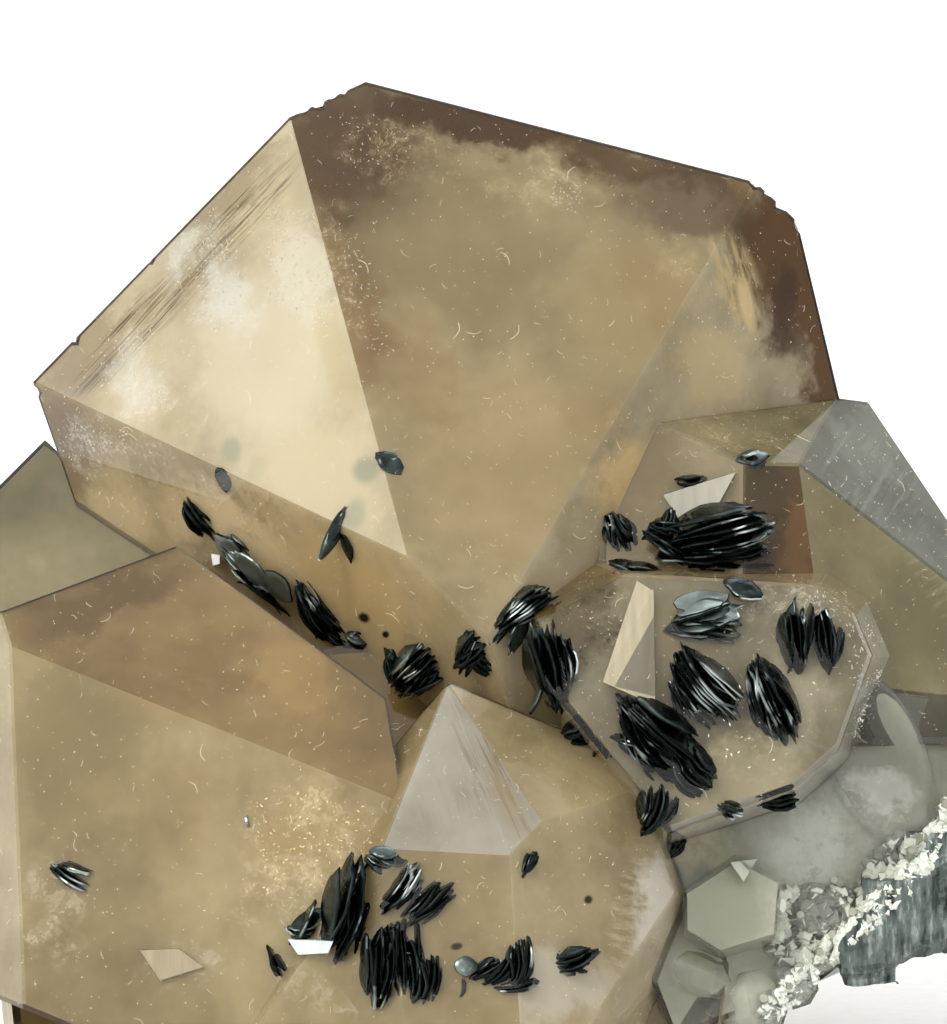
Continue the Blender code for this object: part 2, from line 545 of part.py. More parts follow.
def main():
    for item in list(bpy.data.objects):
        bpy.data.objects.remove(item, do_unlink=True)
    home = bpy.data.collections.new("quartz with hematite")
    tools = bpy.data.collections.new("cutters")
    scratch = bpy.data.collections.new("joined")
    for c in (home, tools, scratch):
        bpy.context.scene.collection.children.link(c)
    rng = random.Random(7)
    smoky = material("smoky quartz", (0.42, 0.34, 0.22), 0.0, 0.05, 1.0)
    black = material("hematite", (0.015, 0.02, 0.02), 0.8, 0.2, 0.0)
    rock = material("metallic rock", (0.12, 0.14, 0.13), 0.6, 0.45, 0.0)

    blocks = [cutBlock(**CRYSTALS[name]) for name in CRYSTALS]
    tree = sightTree(blocks)
    blocks += [lobe(onFace(tree, x, y, sink), wide, high, angle, deep)
               for x, y, wide, high, angle, sink, deep in LOBES]
    blocks += [lump(onBack(tree, x, y, sink), size, rng) for x, y, size, sink in BACK_LUMPS]
    blocks += [point(onFace(tree, x, y, 0.5), wide, high, rng) for x, y, wide, high in DRUSE]
    quartz = newObject("quartz_cluster", blocks[0], home)
    for bm in blocks[1:]:
        newObject("block", bm, scratch)
    joinAll(quartz, scratch)
    flatBase(quartz)

    matrix = newObject("metallic_matrix_rock", cutBlock(**MATRIX), home)
    for x, y, depth, size in MATRIX_LUMPS:
        middle = place((x, y, depth))
        seed = rng.random()
        newObject("lump", lump(middle, size, random.Random(seed)), scratch)
        newObject("lump seat", lump(middle, size, random.Random(seed), SEAT_GAP), tools)
    joinAll(matrix, scratch)
    largestBody(matrix)
    newObject("matrix seat", cutBlock(grow=SEAT_GAP, **MATRIX), tools)

    for name, fans in ROSETTES.items():
        rosette = None
        for fan in fans:
            sight = (place((fan["right"], fan["up"], 0.0)) - EYE * MM).normalized()
            if rosette is None:
                hit = tree.ray_cast(EYE * MM, sight)[0]
                reached = (hit - EYE * MM).dot(AWAY) + fan["seat"] * MM
            middle = EYE * MM + sight * (reached / sight.dot(AWAY))
            bodies, frame = hematiteFan(fan, middle, rng)
            if rosette is not None:
                bodies.append(bridge(first, middle, fan["height"] * 0.35 * MM))
            first = middle
            gap = SEAT_GAP * MM
            half = fan["length"] * MM / 2
            flat = frame.inverted()
            reach = max(abs((flat @ v.co).z) for bm in bodies[:fan["plates"]] for v in bm.verts)
            for bm in bodies:
                if rosette is None:
                    rosette = newObject("hematite_" + name, bm, home)
                else:
                    newObject("plate", bm, scratch)
            wide = (half + gap) * SEAT_ROOM
            seat = prism(wide, (half * fan["deep"] + gap) * SEAT_ROOM, 2 * (reach + gap), 6)
            bmesh.ops.transform(seat, matrix=frame, verts=seat.verts[:])
            if fan["seat"] > 0.45:
                spots = [v.co.copy() for v in seat.verts]
                seat.free()
                seat = bmesh.new()
                for co in spots:
                    seat.verts.new(co)
                    seat.verts.new(co - AWAY * 4 * MM)
                bmesh.ops.convex_hull(seat, input=seat.verts[:])
                loose = [v for v in seat.verts if not v.link_faces]
                bmesh.ops.delete(seat, geom=loose, context="VERTS")
                bmesh.ops.recalc_face_normals(seat, faces=seat.faces[:])
            newObject("seat of " + name, seat, tools)
        joinAll(rosette, scratch)
        largestBody(rosette)
    for tool in tools.objects:
        combine(quartz, "DIFFERENCE", tool=tool)
        bm = bmesh.new()
        bm.from_mesh(quartz.data)
        tidyMesh(bm)
        bm.to_mesh(quartz.data)
        bm.free()
    largestBody(quartz)
    for item in home.objects:
        item.data.materials.clear()
        item.data.materials.append(smoky if item == quartz else rock if item == matrix else black)
    for item in tools.objects:
        item.hide_render = True
        item.display_type = "WIRE"
    print("pieces", len(home.objects))


main()
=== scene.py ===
import json
import math
import random

import bmesh
import bpy
from mathutils import Matrix, Vector, noise
from mathutils.bvhtree import BVHTree

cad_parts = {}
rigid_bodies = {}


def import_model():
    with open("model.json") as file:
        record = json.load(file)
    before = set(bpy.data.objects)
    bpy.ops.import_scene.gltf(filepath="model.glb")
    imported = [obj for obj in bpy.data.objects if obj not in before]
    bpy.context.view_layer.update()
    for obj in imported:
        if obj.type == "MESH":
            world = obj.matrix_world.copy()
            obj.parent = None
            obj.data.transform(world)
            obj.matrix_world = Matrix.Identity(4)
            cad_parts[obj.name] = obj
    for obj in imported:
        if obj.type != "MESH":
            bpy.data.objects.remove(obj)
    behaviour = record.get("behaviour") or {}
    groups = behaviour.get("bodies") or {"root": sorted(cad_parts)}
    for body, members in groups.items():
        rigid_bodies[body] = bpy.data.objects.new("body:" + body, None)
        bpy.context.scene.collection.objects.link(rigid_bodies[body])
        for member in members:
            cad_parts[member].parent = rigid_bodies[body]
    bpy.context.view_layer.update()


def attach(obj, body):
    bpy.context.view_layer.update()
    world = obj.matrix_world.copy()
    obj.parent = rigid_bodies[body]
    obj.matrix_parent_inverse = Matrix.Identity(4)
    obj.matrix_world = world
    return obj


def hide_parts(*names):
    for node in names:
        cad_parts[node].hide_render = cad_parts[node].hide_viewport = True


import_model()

mm = 0.001
# The photograph: how far the camera looks down, its distance, what it looks at and the height that
# it shows there, in degrees and millimetres.
view = {"tilt": 6.0, "distance": 500.0, "middle": (-1.567, -1.254, 36.0), "height": 61.44}
tilt = math.radians(view["tilt"])
away = Vector((0.0, math.cos(tilt), -math.sin(tilt)))
right = Vector((1.0, 0.0, 0.0))
up = Vector((0.0, math.sin(tilt), math.cos(tilt)))
middle = Vector(view["middle"])
eye = middle - away * view["distance"]
scene = bpy.context.scene
home = scene.collection


def toLinear(hexColor, alpha=1.0):
    channels = [int(hexColor[n:n + 2], 16) / 255 for n in (1, 3, 5)]
    return tuple(c / 12.92 if c <= 0.04045 else ((c + 0.055) / 1.055) ** 2.4 for c in channels) + (alpha,)


def brighter(hexColor, share):
    return tuple(min(1.0, c * share) for c in toLinear(hexColor)[:3]) + (1.0,)


# A pattern's scale from the size of one of its grains in millimetres.
def scaleOf(size):
    return 1 / (size * mm)


def addNode(tree, kind, inputs=None, links=None, stops=(), **settings):
    node = tree.nodes.new(kind)
    for name, value in settings.items():
        setattr(node, name, value)
    for name, value in (inputs or {}).items():
        node.inputs[name].default_value = value
    for name, source in (links or {}).items():
        tree.links.new(source, node.inputs[name])
    for n, (spot, color) in enumerate(stops):
        band = node.color_ramp.elements
        element = band[n] if n < len(band) else band.new(spot)
        element.position = spot
        element.color = color
    return node


def newMaterial(name):
    item = bpy.data.materials.new(name)
    item.use_nodes = True
    tree = item.node_tree
    coords = addNode(tree, "ShaderNodeTexCoord").outputs["Object"]
    return item, tree, tree.nodes["Principled BSDF"], coords


def newObject(name, bm, materials=()):
    mesh = bpy.data.meshes.new(name)
    bm.to_mesh(mesh)
    bm.free()
    for item in materials:
        mesh.materials.append(item)
    item = bpy.data.objects.new(name, mesh)
    home.objects.link(item)
    return item


# Where a point lies that the photograph shows at right, up and depth, in millimetres.
def place(point):
    x, y, depth = point
    spread = (view["distance"] + depth) / view["distance"]
    return (middle + right * x * spread + up * y * spread + away * depth) * mm


print("stage: camera, light and floor")
# Sizes are in metres. The floor ends at the right, where a smooth face would mirror it.
studio = {
    "floorSize": 8.0, "floorRight": 0.6, "paperGrain": 1.1111, "paper": ("#D3D3D1", "#D8D8D6"),
    "world": 1.15, "frontShare": 0.9, "rightShare": 0.42, "sensor": 36.0,
}
# Each light: direction, strength, width in degrees, colour, and whether it reaches through clear
# quartz and shows in reflections.
suns = {
    "key light": ((-0.55, -0.75, 0.9), 1.5, 12.0, "#FFF8EE", False, True),
    "top light": ((0.2, 0.5, 1.0), 0.9, 40.0, "#FFFFFF", True, True),
    "soft front light": ((-0.35, -0.8, 0.5), 2.6, 150.0, "#FFFFFF", True, False),
}
bounces = {"max_bounces": 8, "transmission_bounces": 7, "transparent_max_bounces": 8,
           "diffuse_bounces": 3, "glossy_bounces": 4}
camera = bpy.data.cameras.new("camera")
camera.sensor_fit = "VERTICAL"
camera.sensor_height = studio["sensor"]
camera.sensor_width = studio["sensor"]
camera.lens = view["distance"] * studio["sensor"] / view["height"]
camera.clip_start = 0.01
camera.clip_end = 50.0
cameraObject = bpy.data.objects.new("camera", camera)
home.objects.link(cameraObject)
cameraObject.location = eye * mm
cameraObject.rotation_euler = (math.radians(90 - view["tilt"]), 0, 0)
scene.camera = cameraObject
scene.view_settings.view_transform = "Standard"
scene.cycles.use_denoising = True
scene.cycles.adaptive_threshold = 0.1
scene.cycles.sample_clamp_indirect = 6.0
for name, most in bounces.items():
    setattr(scene.cycles, name, most)

world = bpy.data.worlds.new("studio")
scene.world = world
world.use_nodes = True
sky = world.node_tree
way = addNode(sky, "ShaderNodeSeparateXYZ",
              links={"Vector": addNode(sky, "ShaderNodeTexCoord").outputs["Generated"]})
front = addNode(sky, "ShaderNodeMapRange",
                {"From Min": -1.0, "From Max": 0.2, "To Min": studio["frontShare"], "To Max": 1.0},
                {"Value": way.outputs["Y"]})
side = addNode(sky, "ShaderNodeMapRange",
               {"From Min": -0.1, "From Max": 0.8, "To Min": 1.0, "To Max": studio["rightShare"]},
               {"Value": way.outputs["X"]})
both = addNode(sky, "ShaderNodeMath", links={0: front.outputs["Result"], 1: side.outputs["Result"]},
               operation="MULTIPLY")
strength = addNode(sky, "ShaderNodeMath", {1: studio["world"]}, {0: both.outputs[0]}, operation="MULTIPLY")
sky.nodes["Background"].inputs["Color"].default_value = (1.0, 1.0, 1.0, 1.0)
sky.links.new(strength.outputs[0], sky.nodes["Background"].inputs["Strength"])

for name, (direction, power, width, color, inside, shines) in suns.items():
    light = bpy.data.lights.new(name, "SUN")
    light.energy = power
    light.angle = math.radians(width)
    light.color = toLinear(color)[:3]
    item = bpy.data.objects.new(name, light)
    home.objects.link(item)
    item.rotation_euler = Vector(direction).to_track_quat("Z", "Y").to_euler()
    item.visible_transmission = inside
    item.visible_glossy = shines

bm = bmesh.new()
bmesh.ops.create_grid(bm, x_segments=2, y_segments=2, size=studio["floorSize"] / 2,
                      matrix=Matrix.Translation((studio["floorRight"] - studio["floorSize"] / 2, 0, 0)))
paper, tree, shader, coords = newMaterial("white paper, matt")     # an even pale ground with no shine
grain = addNode(tree, "ShaderNodeTexNoise", {"Scale": scaleOf(studio["paperGrain"]), "Detail": 3.0},
                {"Vector": coords})
tint = addNode(tree, "ShaderNodeValToRGB", links={"Fac": grain.outputs["Fac"]},
               stops=list(zip((0.3, 0.7), map(toLinear, studio["paper"]))))
tree.links.new(tint.outputs["Color"], shader.inputs["Base Color"])
shader.inputs["Roughness"].default_value = 0.9
floor = newObject("floor", bm, [paper])

# Each crystal is a block cut by flat faces. A face goes through three points, and a point is
# right, up and away from the middle of the picture plane, in millimetres.
crystals = {
    "main": {
        "heart": (-2.61, 7.92, 10),
        "faces": {
            "centre": ((-11.04, 23.68, 5.7), (16.89, 19.8, 6.4), (-4.01, -2.72, -6)),
            "left": ((-11.04, 23.68, 5.7), (-4.01, -2.72, -6), (-26.43, 7.8, 12)),
            "below left": ((-26.43, 7.8, 12), (-4.01, -2.72, -6), (0.81, -7.5, -7.8)),
            "right": ((16.89, 19.8, 6.4), (3.81, -2.4, -5.2), (21.93, 6.9, 12.1)),
            "top back": ((-6.69, 25.86, 7.15), (16.89, 19.8, 6.4), (5.19, 15, 19.5)),
            "tip chip": ((-11.04, 23.68, 5.7), (-6.69, 25.86, 7.15), (-8.61, 21.12, 14)),
            "left back": ((-11.04, 23.68, 5.7), (-26.43, 7.8, 12), (-15.03, 10.62, 19)),
            "low left back": ((-26.43, 7.8, 12), (-22.83, -2.58, 16.1), (-20.01, 4.92, 24)),
            "right back": ((19.41, 17.52, 9), (21.93, 6.9, 12.1), (18.99, 10.92, 22)),
            "back": ((-10.41, 12.72, 26), (7.59, 12.72, 27), (-1.41, -2.88, 25)),
            "foot": ((-16.41, -23.28, 0), (13.59, -23.28, 0), (-1.41, -22.08, 20)),
        },
    },
    "grey left": {
        "heart": (-24.81, -2.88, 18),
        "faces": {
            "front": ((-25.71, 4.32, 17.5), (-32.01, -1.98, 16), (-26.01, -7.68, 11)),
            "top back": ((-25.71, 4.32, 17.5), (-32.01, -1.98, 16), (-26.01, 0.72, 25)),
            "left": ((-32.01, -1.98, 16), (-32.13, -10.08, 11), (-30.21, -5.28, 24)),
            "right top": ((-25.71, 4.32, 17.5), (-20.61, -0.48, 15), (-24.21, 2.52, 25)),
            "back": ((-28.41, 0.72, 24.5), (-22.41, 0.72, 24.5), (-26.01, -7.68, 22)),
            "right": ((-17.61, 0.72, 20), (-17.61, -5.28, 10), (-17.61, -5.28, 24)),
            "foot": ((-28.41, -14.88, 10), (-22.41, -14.88, 10), (-25.41, -13.68, 20)),
        },
    },
    "lower left": {
        "heart": (-17.61, -17.28, 0),
        "faces": {
            "upper": ((-17.61, -1.98, -1), (-28.41, -7.68, -5), (-7.41, -16.08, -12.3)),
            "front": ((-28.41, -7.68, -5), (-7.41, -16.08, -12.3), (-16.41, -29.28, -13)),
            "left": ((-27.39, -17.28, -7.7), (-27.21, -29.28, -10), (-30.81, -23.28, -2)),
            "far left": ((-32.01, -17.28, 6), (-32.01, -29.28, 3), (-30.21, -23.28, 16)),
            "top left back": ((-17.61, -1.98, -1), (-28.41, -6, -3.7), (-24.81, -7.68, 12)),
            "top right back": ((-17.61, -1.98, -1), (-14.01, -4.68, -3.2), (-12.81, -8.88, 10)),
            "right": ((-14.01, -4.68, -3.2), (-5.31, -10.68, -8.2), (-8.61, -11.28, 8)),
            "right low": ((-5.31, -10.68, -8.2), (-3.21, -23.28, -12), (-4.41, -17.28, 6)),
            "back": ((-28.41, -11.28, 15), (-10.41, -11.28, 12), (-22.41, -29.28, 14)),
            "under left": ((-32.01, -27.78, 5), (-26.01, -30.24, -9), (-28.41, -29.28, 14)),
            "foot": ((-28.41, -40.98, 0), (-10.41, -41.22, 0), (-22.41, -41.7, 20)),
        },
    },
    "lower centre": {
        "heart": (1.59, -23.28, -5),
        "faces": {
            "bright": ((-1.53, -10.2, -10), (-5.49, -20.1, -16.5), (2.25, -20.52, -17.5)),
            "striated": ((-1.53, -10.2, -10), (2.25, -20.52, -17.5), (4.17, -18.48, -15.3)),
            "slim left": ((-1.53, -10.2, -10), (-5.49, -20.1, -16.5), (-5.73, -17.28, -11)),
            "right upper": ((-1.53, -10.2, -10), (4.17, -18.48, -15.3), (9.99, -17.28, -10.5)),
            "front": ((-5.49, -20.1, -16.5), (2.25, -20.52, -17.5), (-1.41, -29.88, -19)),
            "front right": ((2.25, -20.52, -17.5), (4.17, -18.48, -15.3), (5.19, -29.88, -17.5)),
            "left low": ((-5.49, -20.1, -16.5), (-10.41, -23.28, -14.8), (-10.41, -29.28, -15.8)),
            "rim": ((9.99, -17.28, -10.5), (11.49, -22.08, -11.5), (12.99, -19.68, -2)),
            "rim low": ((11.49, -22.08, -11.5), (7.59, -29.88, -15.5), (13.59, -26.88, -4)),
            "top back": ((-1.53, -10.2, -10), (7.59, -13.98, -9.8), (3.99, -12.48, 4)),
            "left back": ((-1.53, -10.2, -10), (-5.91, -14.88, -9), (-4.41, -17.28, 4)),
            "back": ((-10.41, -17.28, 8), (7.59, -17.28, 8), (-1.41, -29.28, 8)),
            "foot": ((-28.41, -41.52, 0), (-10.41, -41.76, 0), (-22.41, -42.24, 20)),
        },
    },
    "clear right": {
        "heart": (13.59, -11.28, 0),
        "faces": {
            "front": ((7.59, -10.68, -11), (19.59, -7.68, -9.2), (14.79, -16.08, -11.4)),
            "front upper": ((7.59, -10.68, -11), (19.59, -7.68, -9.2), (13.59, -4.38, -7.6)),
            "upper left": ((3.03, -5.16, -2), (7.89, -2.88, -2), (6.09, -5.28, -8)),
            "top left": ((7.89, -2.88, -2), (13.59, -3.24, -2), (10.95, -3.96, -9)),
            "top": ((13.59, -3.24, -2), (20.79, -3.48, -2), (17.19, -4.2, -9)),
            "upper right": ((20.79, -3.48, -2), (23.31, -5.28, -2), (21.39, -5.16, -9)),
            "right top": ((23.31, -5.28, -2), (24.81, -8.58, -2), (23.31, -7.32, -9)),
            "right": ((24.81, -8.58, -2), (22.71, -15, -2), (22.89, -11.64, -9)),
            "lower right": ((22.71, -15, -2), (19.59, -18, -2), (20.49, -15.84, -9)),
            "bottom": ((19.59, -18, -2), (16.29, -19.2, -2), (17.55, -17.64, -9)),
            "lower left": ((16.29, -19.2, -2), (11.49, -21, -2), (13.47, -18.96, -10)),
            "left low": ((11.49, -21, -2), (4.29, -12, -2), (8.67, -15.84, -11)),
            "left": ((4.29, -12, -2), (2.79, -10.08, -2), (4.23, -10.56, -10)),
            "far left": ((2.79, -10.08, -2), (3.03, -5.16, -2), (3.87, -7.68, -9)),
            "back": ((7.59, -8.28, 9), (19.59, -8.28, 9), (13.59, -17.28, 9)),
        },
    },
    "upper right": {
        "heart": (19.59, -2.88, 8),
        "faces": {
            "dark": ((11.01, 5.46, 1.4), (16.29, 3, -1), (7.59, -1.68, -1.5)),
            "sparkling": ((11.01, 5.46, 1.4), (16.29, 3, -1), (21.75, 6.84, 12)),
            "red brown": ((16.29, 3, -1), (19.65, 2.88, 1.06), (20.49, -3.24, -1.5)),
            "light brown": ((19.65, 2.88, 1.06), (20.49, -3.24, -1.5), (28.41, -3.96, 5)),
            "etched": ((19.65, 2.88, 1.06), (21.75, 6.84, 12), (28.41, -3.96, 5)),
            "etched top": ((21.75, 6.84, 12), (23.67, 6.6, 15.1), (22.59, 4.92, 24)),
            "etched edge": ((23.67, 6.6, 15.1), (28.41, -0.48, 11.2), (25.59, 0.72, 24)),
            "top back": ((11.01, 5.46, 1.4), (21.75, 6.84, 12), (15.99, 5.52, 24)),
            "inner left": ((7.59, -1.68, -1.5), (7.59, -11.28, -1.5), (8.79, -1.68, 15)),
            "far right": ((32.19, -5.28, 9), (32.31, -14.28, 7), (30.99, -8.28, 18)),
            "back": ((13.59, 0.72, 23), (25.59, 0.72, 24), (19.59, -11.28, 22)),
            "foot": ((13.59, -13.98, 0), (25.59, -13.98, 0), (19.59, -13.68, 20)),
        },
    },
    "grey mass": {
        "heart": (22.59, -20.88, 8),
        "faces": {
            "front": ((13.59, -23.28, -8.5), (24.39, -19.68, -5), (17.19, -29.88, -9)),
            "upper": ((17.19, -19.08, -6), (24.69, -10.68, -2.2), (27.39, -16.68, -2.5)),
            "right front": ((24.69, -10.68, -2.2), (27.39, -16.68, -2.5), (31.59, -14.88, 2.5)),
            "right": ((34.59, -11.28, 9), (34.95, -19.68, 9), (33.39, -14.88, 20)),
            "top right": ((27.39, -10.68, 2), (34.59, -11.28, 9), (31.59, -7.68, 20)),
            "top": ((13.59, -10.08, 0), (24.69, -10.68, -2.2), (19.59, -7.68, 20)),
            "under": ((17.79, -30.72, -6), (22.59, -27.36, -1), (22.59, -29.28, 14)),
            "under right": ((22.59, -27.36, -1), (33.99, -22.68, 8), (28.59, -24.78, 20)),
            "left low": ((9.99, -26.88, -5), (12.39, -32.88, -8), (10.59, -29.28, 4)),
            "left": ((9.99, -11.28, 0), (9.99, -23.28, 0), (10.29, -17.28, 20)),
            "back": ((13.59, -17.28, 22), (31.59, -17.28, 22), (22.59, -29.28, 18)),
        },
    },
    "small hexagon": {
        "heart": (15.69, -23.58, -4),
        "faces": {
            "front": ((13.59, -23.28, -9.6), (17.79, -22.98, -9), (15.39, -25.68, -10)),
            "upper left": ((12.51, -22.68, -8), (15.69, -20.58, -7), (13.29, -21.48, -3)),
            "upper right": ((15.69, -20.58, -7), (18.69, -22.08, -6.5), (17.49, -21, -2)),
            "right": ((18.69, -22.08, -6.5), (18.39, -25.68, -7.5), (19.11, -23.88, -2)),
            "low right": ((18.39, -25.68, -7.5), (14.79, -26.76, -8.5), (16.89, -26.88, -3)),
            "low left": ((14.79, -26.76, -8.5), (12.57, -25.38, -8.5), (13.47, -26.58, -4)),
            "left": ((12.57, -25.38, -8.5), (12.51, -22.68, -8), (12.27, -24, -3)),
            "back": ((13.59, -23.28, 2), (17.79, -23.28, 2), (15.39, -25.68, 2)),
        },
    },
    "root": {
        "heart": (-1.41, -25.68, 8),
        "faces": {
            "front": ((-10.41, -11.28, 0), (7.59, -11.28, -1), (-1.41, -32.28, -9)),
            "left": ((-29.61, -14.88, 12), (-27.81, -31.68, 3), (-29.01, -23.28, 18)),
            "left back": ((-29.01, -23.28, 16), (-26.61, -32.88, 14), (-21.81, -23.28, 25)),
            "right": ((17.79, -17.28, 8), (15.99, -29.28, 0), (18.39, -23.28, 16)),
            "right back": ((18.09, -19.68, 13), (13.59, -32.28, 12), (9.99, -20.28, 24)),
            "top": ((-24.81, -11.28, 10), (13.59, -7.68, 10), (-10.41, -12.48, 24)),
            "back": ((-22.41, -17.28, 25), (7.59, -14.88, 27), (-7.41, -29.28, 21)),
            "back low": ((-19.41, -28.08, 21), (4.59, -26.88, 22), (-7.41, -35.28, 14)),
            "foot": ((-28.41, -40.38, 0), (-10.41, -40.08, 0), (-22.41, -40.68, 20)),
        },
    },
}


# How close points are when they count as one, in metres.
near = {"cut": 1e-7, "block": 1e-6, "lump": 1e-5, "mesh": 2e-6}
# Cutting: the size of the raw block in millimetres, and for a lump of size 1 the size of its raw
# cube and how near and far from its middle it is cut.
cutting = {"block": 200.0, "cube": 1.3, "nearest": 0.42, "farthest": 0.55}


# Cuts off what lies beyond a flat face and gives the open rim that is left.
def cutOff(bm, spot, normal):
    cut = bmesh.ops.bisect_plane(bm, geom=bm.verts[:] + bm.edges[:] + bm.faces[:], dist=near["cut"],
                                 plane_co=spot, plane_no=normal, clear_outer=True)
    return [part for part in cut["geom_cut"] if isinstance(part, bmesh.types.BMEdge)]


def cutBlock(faces, heart, grow=0.0, tones=None, grows=None):
    inside = place(heart)
    bm = bmesh.new()
    bmesh.ops.create_cube(bm, size=cutting["block"] * mm, matrix=Matrix.Translation(inside))
    for name, corners in faces.items():
        a, b, c = (place(p) for p in corners)
        outward = (b - a).cross(c - a).normalized()
        if outward.dot(inside - a) > 0.0:
            outward.negate()
        rim = cutOff(bm, a + outward * (grows or {}).get(name, grow) * mm, outward)
        if rim:
            broken = "back" in name or name == "foot"
            for face in bmesh.ops.contextual_create(bm, geom=rim)["faces"]:
                face.material_index = (tones or {}).get(name, int(broken))
    bmesh.ops.remove_doubles(bm, verts=bm.verts[:], dist=near["block"])
    bmesh.ops.recalc_face_normals(bm, faces=bm.faces[:])
    return bm


def lump(middle, size, rng, cuts=7, slot=1):
    bm = bmesh.new()
    bmesh.ops.create_cube(bm, size=size * cutting["cube"] * mm, matrix=Matrix.Translation(middle))
    for n in range(cuts):
        outward = Vector((rng.gauss(0, 1), rng.gauss(0, 1), rng.gauss(0, 1))).normalized()
        reach = size * rng.uniform(cutting["nearest"], cutting["farthest"])
        rim = cutOff(bm, middle + outward * reach * mm, outward)
        if rim:
            bmesh.ops.contextual_create(bm, geom=rim)
    bmesh.ops.remove_doubles(bm, verts=bm.verts[:], dist=near["lump"])
    bmesh.ops.recalc_face_normals(bm, faces=bm.faces[:])
    for face in bm.faces:
        face.material_index = slot
    return bm


# The mesh that an object's modifiers give, which are then removed.
def bake(item):
    bpy.context.view_layer.update()
    mesh = bpy.data.meshes.new_from_object(item.evaluated_get(bpy.context.evaluated_depsgraph_get()))
    item.modifiers.clear()
    return mesh


# Joins blocks to an object, or cuts them out of it.
def combine(item, blocks, operation):
    group = bpy.data.collections.new("blocks")
    home.children.link(group)
    for bm in blocks:
        other = newObject("block", bm, item.data.materials[:])
        home.objects.unlink(other)
        group.objects.link(other)
    change = item.modifiers.new("combine", "BOOLEAN")
    change.operation = operation
    change.solver = "EXACT"
    change.operand_type = "COLLECTION"
    change.collection = group
    item.data = bake(item)
    for other in list(group.objects):
        bpy.data.objects.remove(other, do_unlink=True)
    bpy.data.collections.remove(group)


def unite(name, blocks, materials):
    item = newObject(name, blocks[0], materials)
    combine(item, blocks[1:], "UNION")
    return item


def chipOff(item, spots, seed, grow=0.0, slot=0):
    draws = random.Random(seed)
    blocks = [lump(place((x, y, depth)), size + grow, draws, 9, slot) for x, y, depth, size in spots]
    combine(item, blocks, "DIFFERENCE")


# Cuts an object off at the level that it stands on.
def flatBase(item, slot):
    bm = bmesh.new()
    bm.from_mesh(item.data)
    bmesh.ops.remove_doubles(bm, verts=bm.verts[:], dist=near["mesh"])
    bmesh.ops.dissolve_degenerate(bm, edges=bm.edges[:], dist=near["mesh"])
    bmesh.ops.triangulate(bm, faces=bm.faces[:])
    rim = cutOff(bm, (0, 0, 0), (0, 0, -1))
    if rim:
        for part in bmesh.ops.triangle_fill(bm, use_beauty=True, edges=rim)["geom"]:
            if isinstance(part, bmesh.types.BMFace):
                part.material_index = slot
    bmesh.ops.recalc_face_normals(bm, faces=bm.faces[:])
    bm.to_mesh(item.data)
    bm.free()


def surfaceOf(blocks):
    corners = []
    faces = []
    for bm in blocks:
        first = len(corners)
        bm.verts.index_update()
        corners += [v.co.copy() for v in bm.verts]
        faces += [[v.index + first for v in f.verts] for f in bm.faces]
    return BVHTree.FromPolygons(corners, faces)


# The point of the surface that the photograph shows at x right and y up, and one set deeper.
def onFace(x, y, sink=0.0):
    sight = (place((x, y, 0.0)) - eye * mm).normalized()
    hit = surface.ray_cast(eye * mm, sight)[0] or surface.find_nearest(place((x, y, 0.0)))[0]
    return hit + away * sink * mm


def onBack(x, y, sink):
    start = (middle + right * x + up * y + away * 100) * mm
    return surface.ray_cast(start, -away)[0] - away * sink * mm


# Small points of the druse: right, up, width and height.
druse = (
    (28.23, -17.64, 1.6, 3), (27.15, -19.56, 1.8, 3.2), (26.07, -21, 1.4, 2.6),
    (25.17, -22.32, 1.7, 3), (24.03, -23.4, 1.3, 2.4), (23.07, -24.6, 1.8, 2.8),
    (21.75, -25.32, 1.5, 2.8), (20.67, -26.4, 1.3, 2.2), (19.59, -27.36, 1.8, 3),
    (18.51, -28.32, 1.3, 2.4), (17.43, -29.28, 1.7, 2.8), (29.19, -16.08, 1.5, 2.6),
    (30.69, -15.18, 1.9, 3), (32.31, -14.16, 1.4, 2.4), (22.11, -22.32, 1.4, 2.4),
    (19.95, -24.36, 1.5, 2.6),
)
# Rounded swellings of the grey mass: right, up, half width, half height, angle from upright, how far
# the middle sinks in and half depth.
lobes = (
    (23.3, -16.2, 4.4, 7.0, -14, 1.9, 2.6), (20.3, -24.3, 2.8, 2.3, 20, 1.2, 2.0),
    (13.2, -27.9, 2.8, 2.0, 24, 1.0, 1.7), (16.6, -29.6, 2.3, 2.8, -12, 1.2, 1.9),
    (18.9, -28.2, 2.0, 1.6, 30, 1.0, 1.5), (31.0, -11.6, 4.0, 4.4, 30, 2.2, 3.2),
)
# Broken lumps of the back, placed from behind: right, up, size and how far they sink in.
backLumps = (
    (-20, -10, 11, 4.0), (-10, -16, 13, 5.0), (2, -12, 12, 4.5), (12, -18, 11, 4.0),
    (-24, -22, 10, 3.5), (-3, -25, 12, 4.5), (20, -8, 10, 4.0), (26, -16, 11, 4.5),
)
# A lobe wider than this is smooth and has more sides.
lobeShape = {"large": 4, "sides": 40, "fewSides": 10}


def lobe(x, y, wide, high, angle, sink, deep, grow=0.0):
    large = wide > lobeShape["large"]
    sides = lobeShape["sides"] if large else lobeShape["fewSides"]
    bm = bmesh.new()
    bmesh.ops.create_uvsphere(bm, u_segments=sides, v_segments=sides // 2, radius=mm)
    bmesh.ops.scale(bm, vec=(wide + grow, deep + grow, high + grow), verts=bm.verts[:])
    turned = Matrix((right, away, up)).transposed().to_4x4() @ Matrix.Rotation(math.radians(angle), 4, "Y")
    turned.translation = onFace(x, y, sink)
    bmesh.ops.transform(bm, matrix=turned, verts=bm.verts[:])
    for face in bm.faces:
        face.smooth = large
    return bm


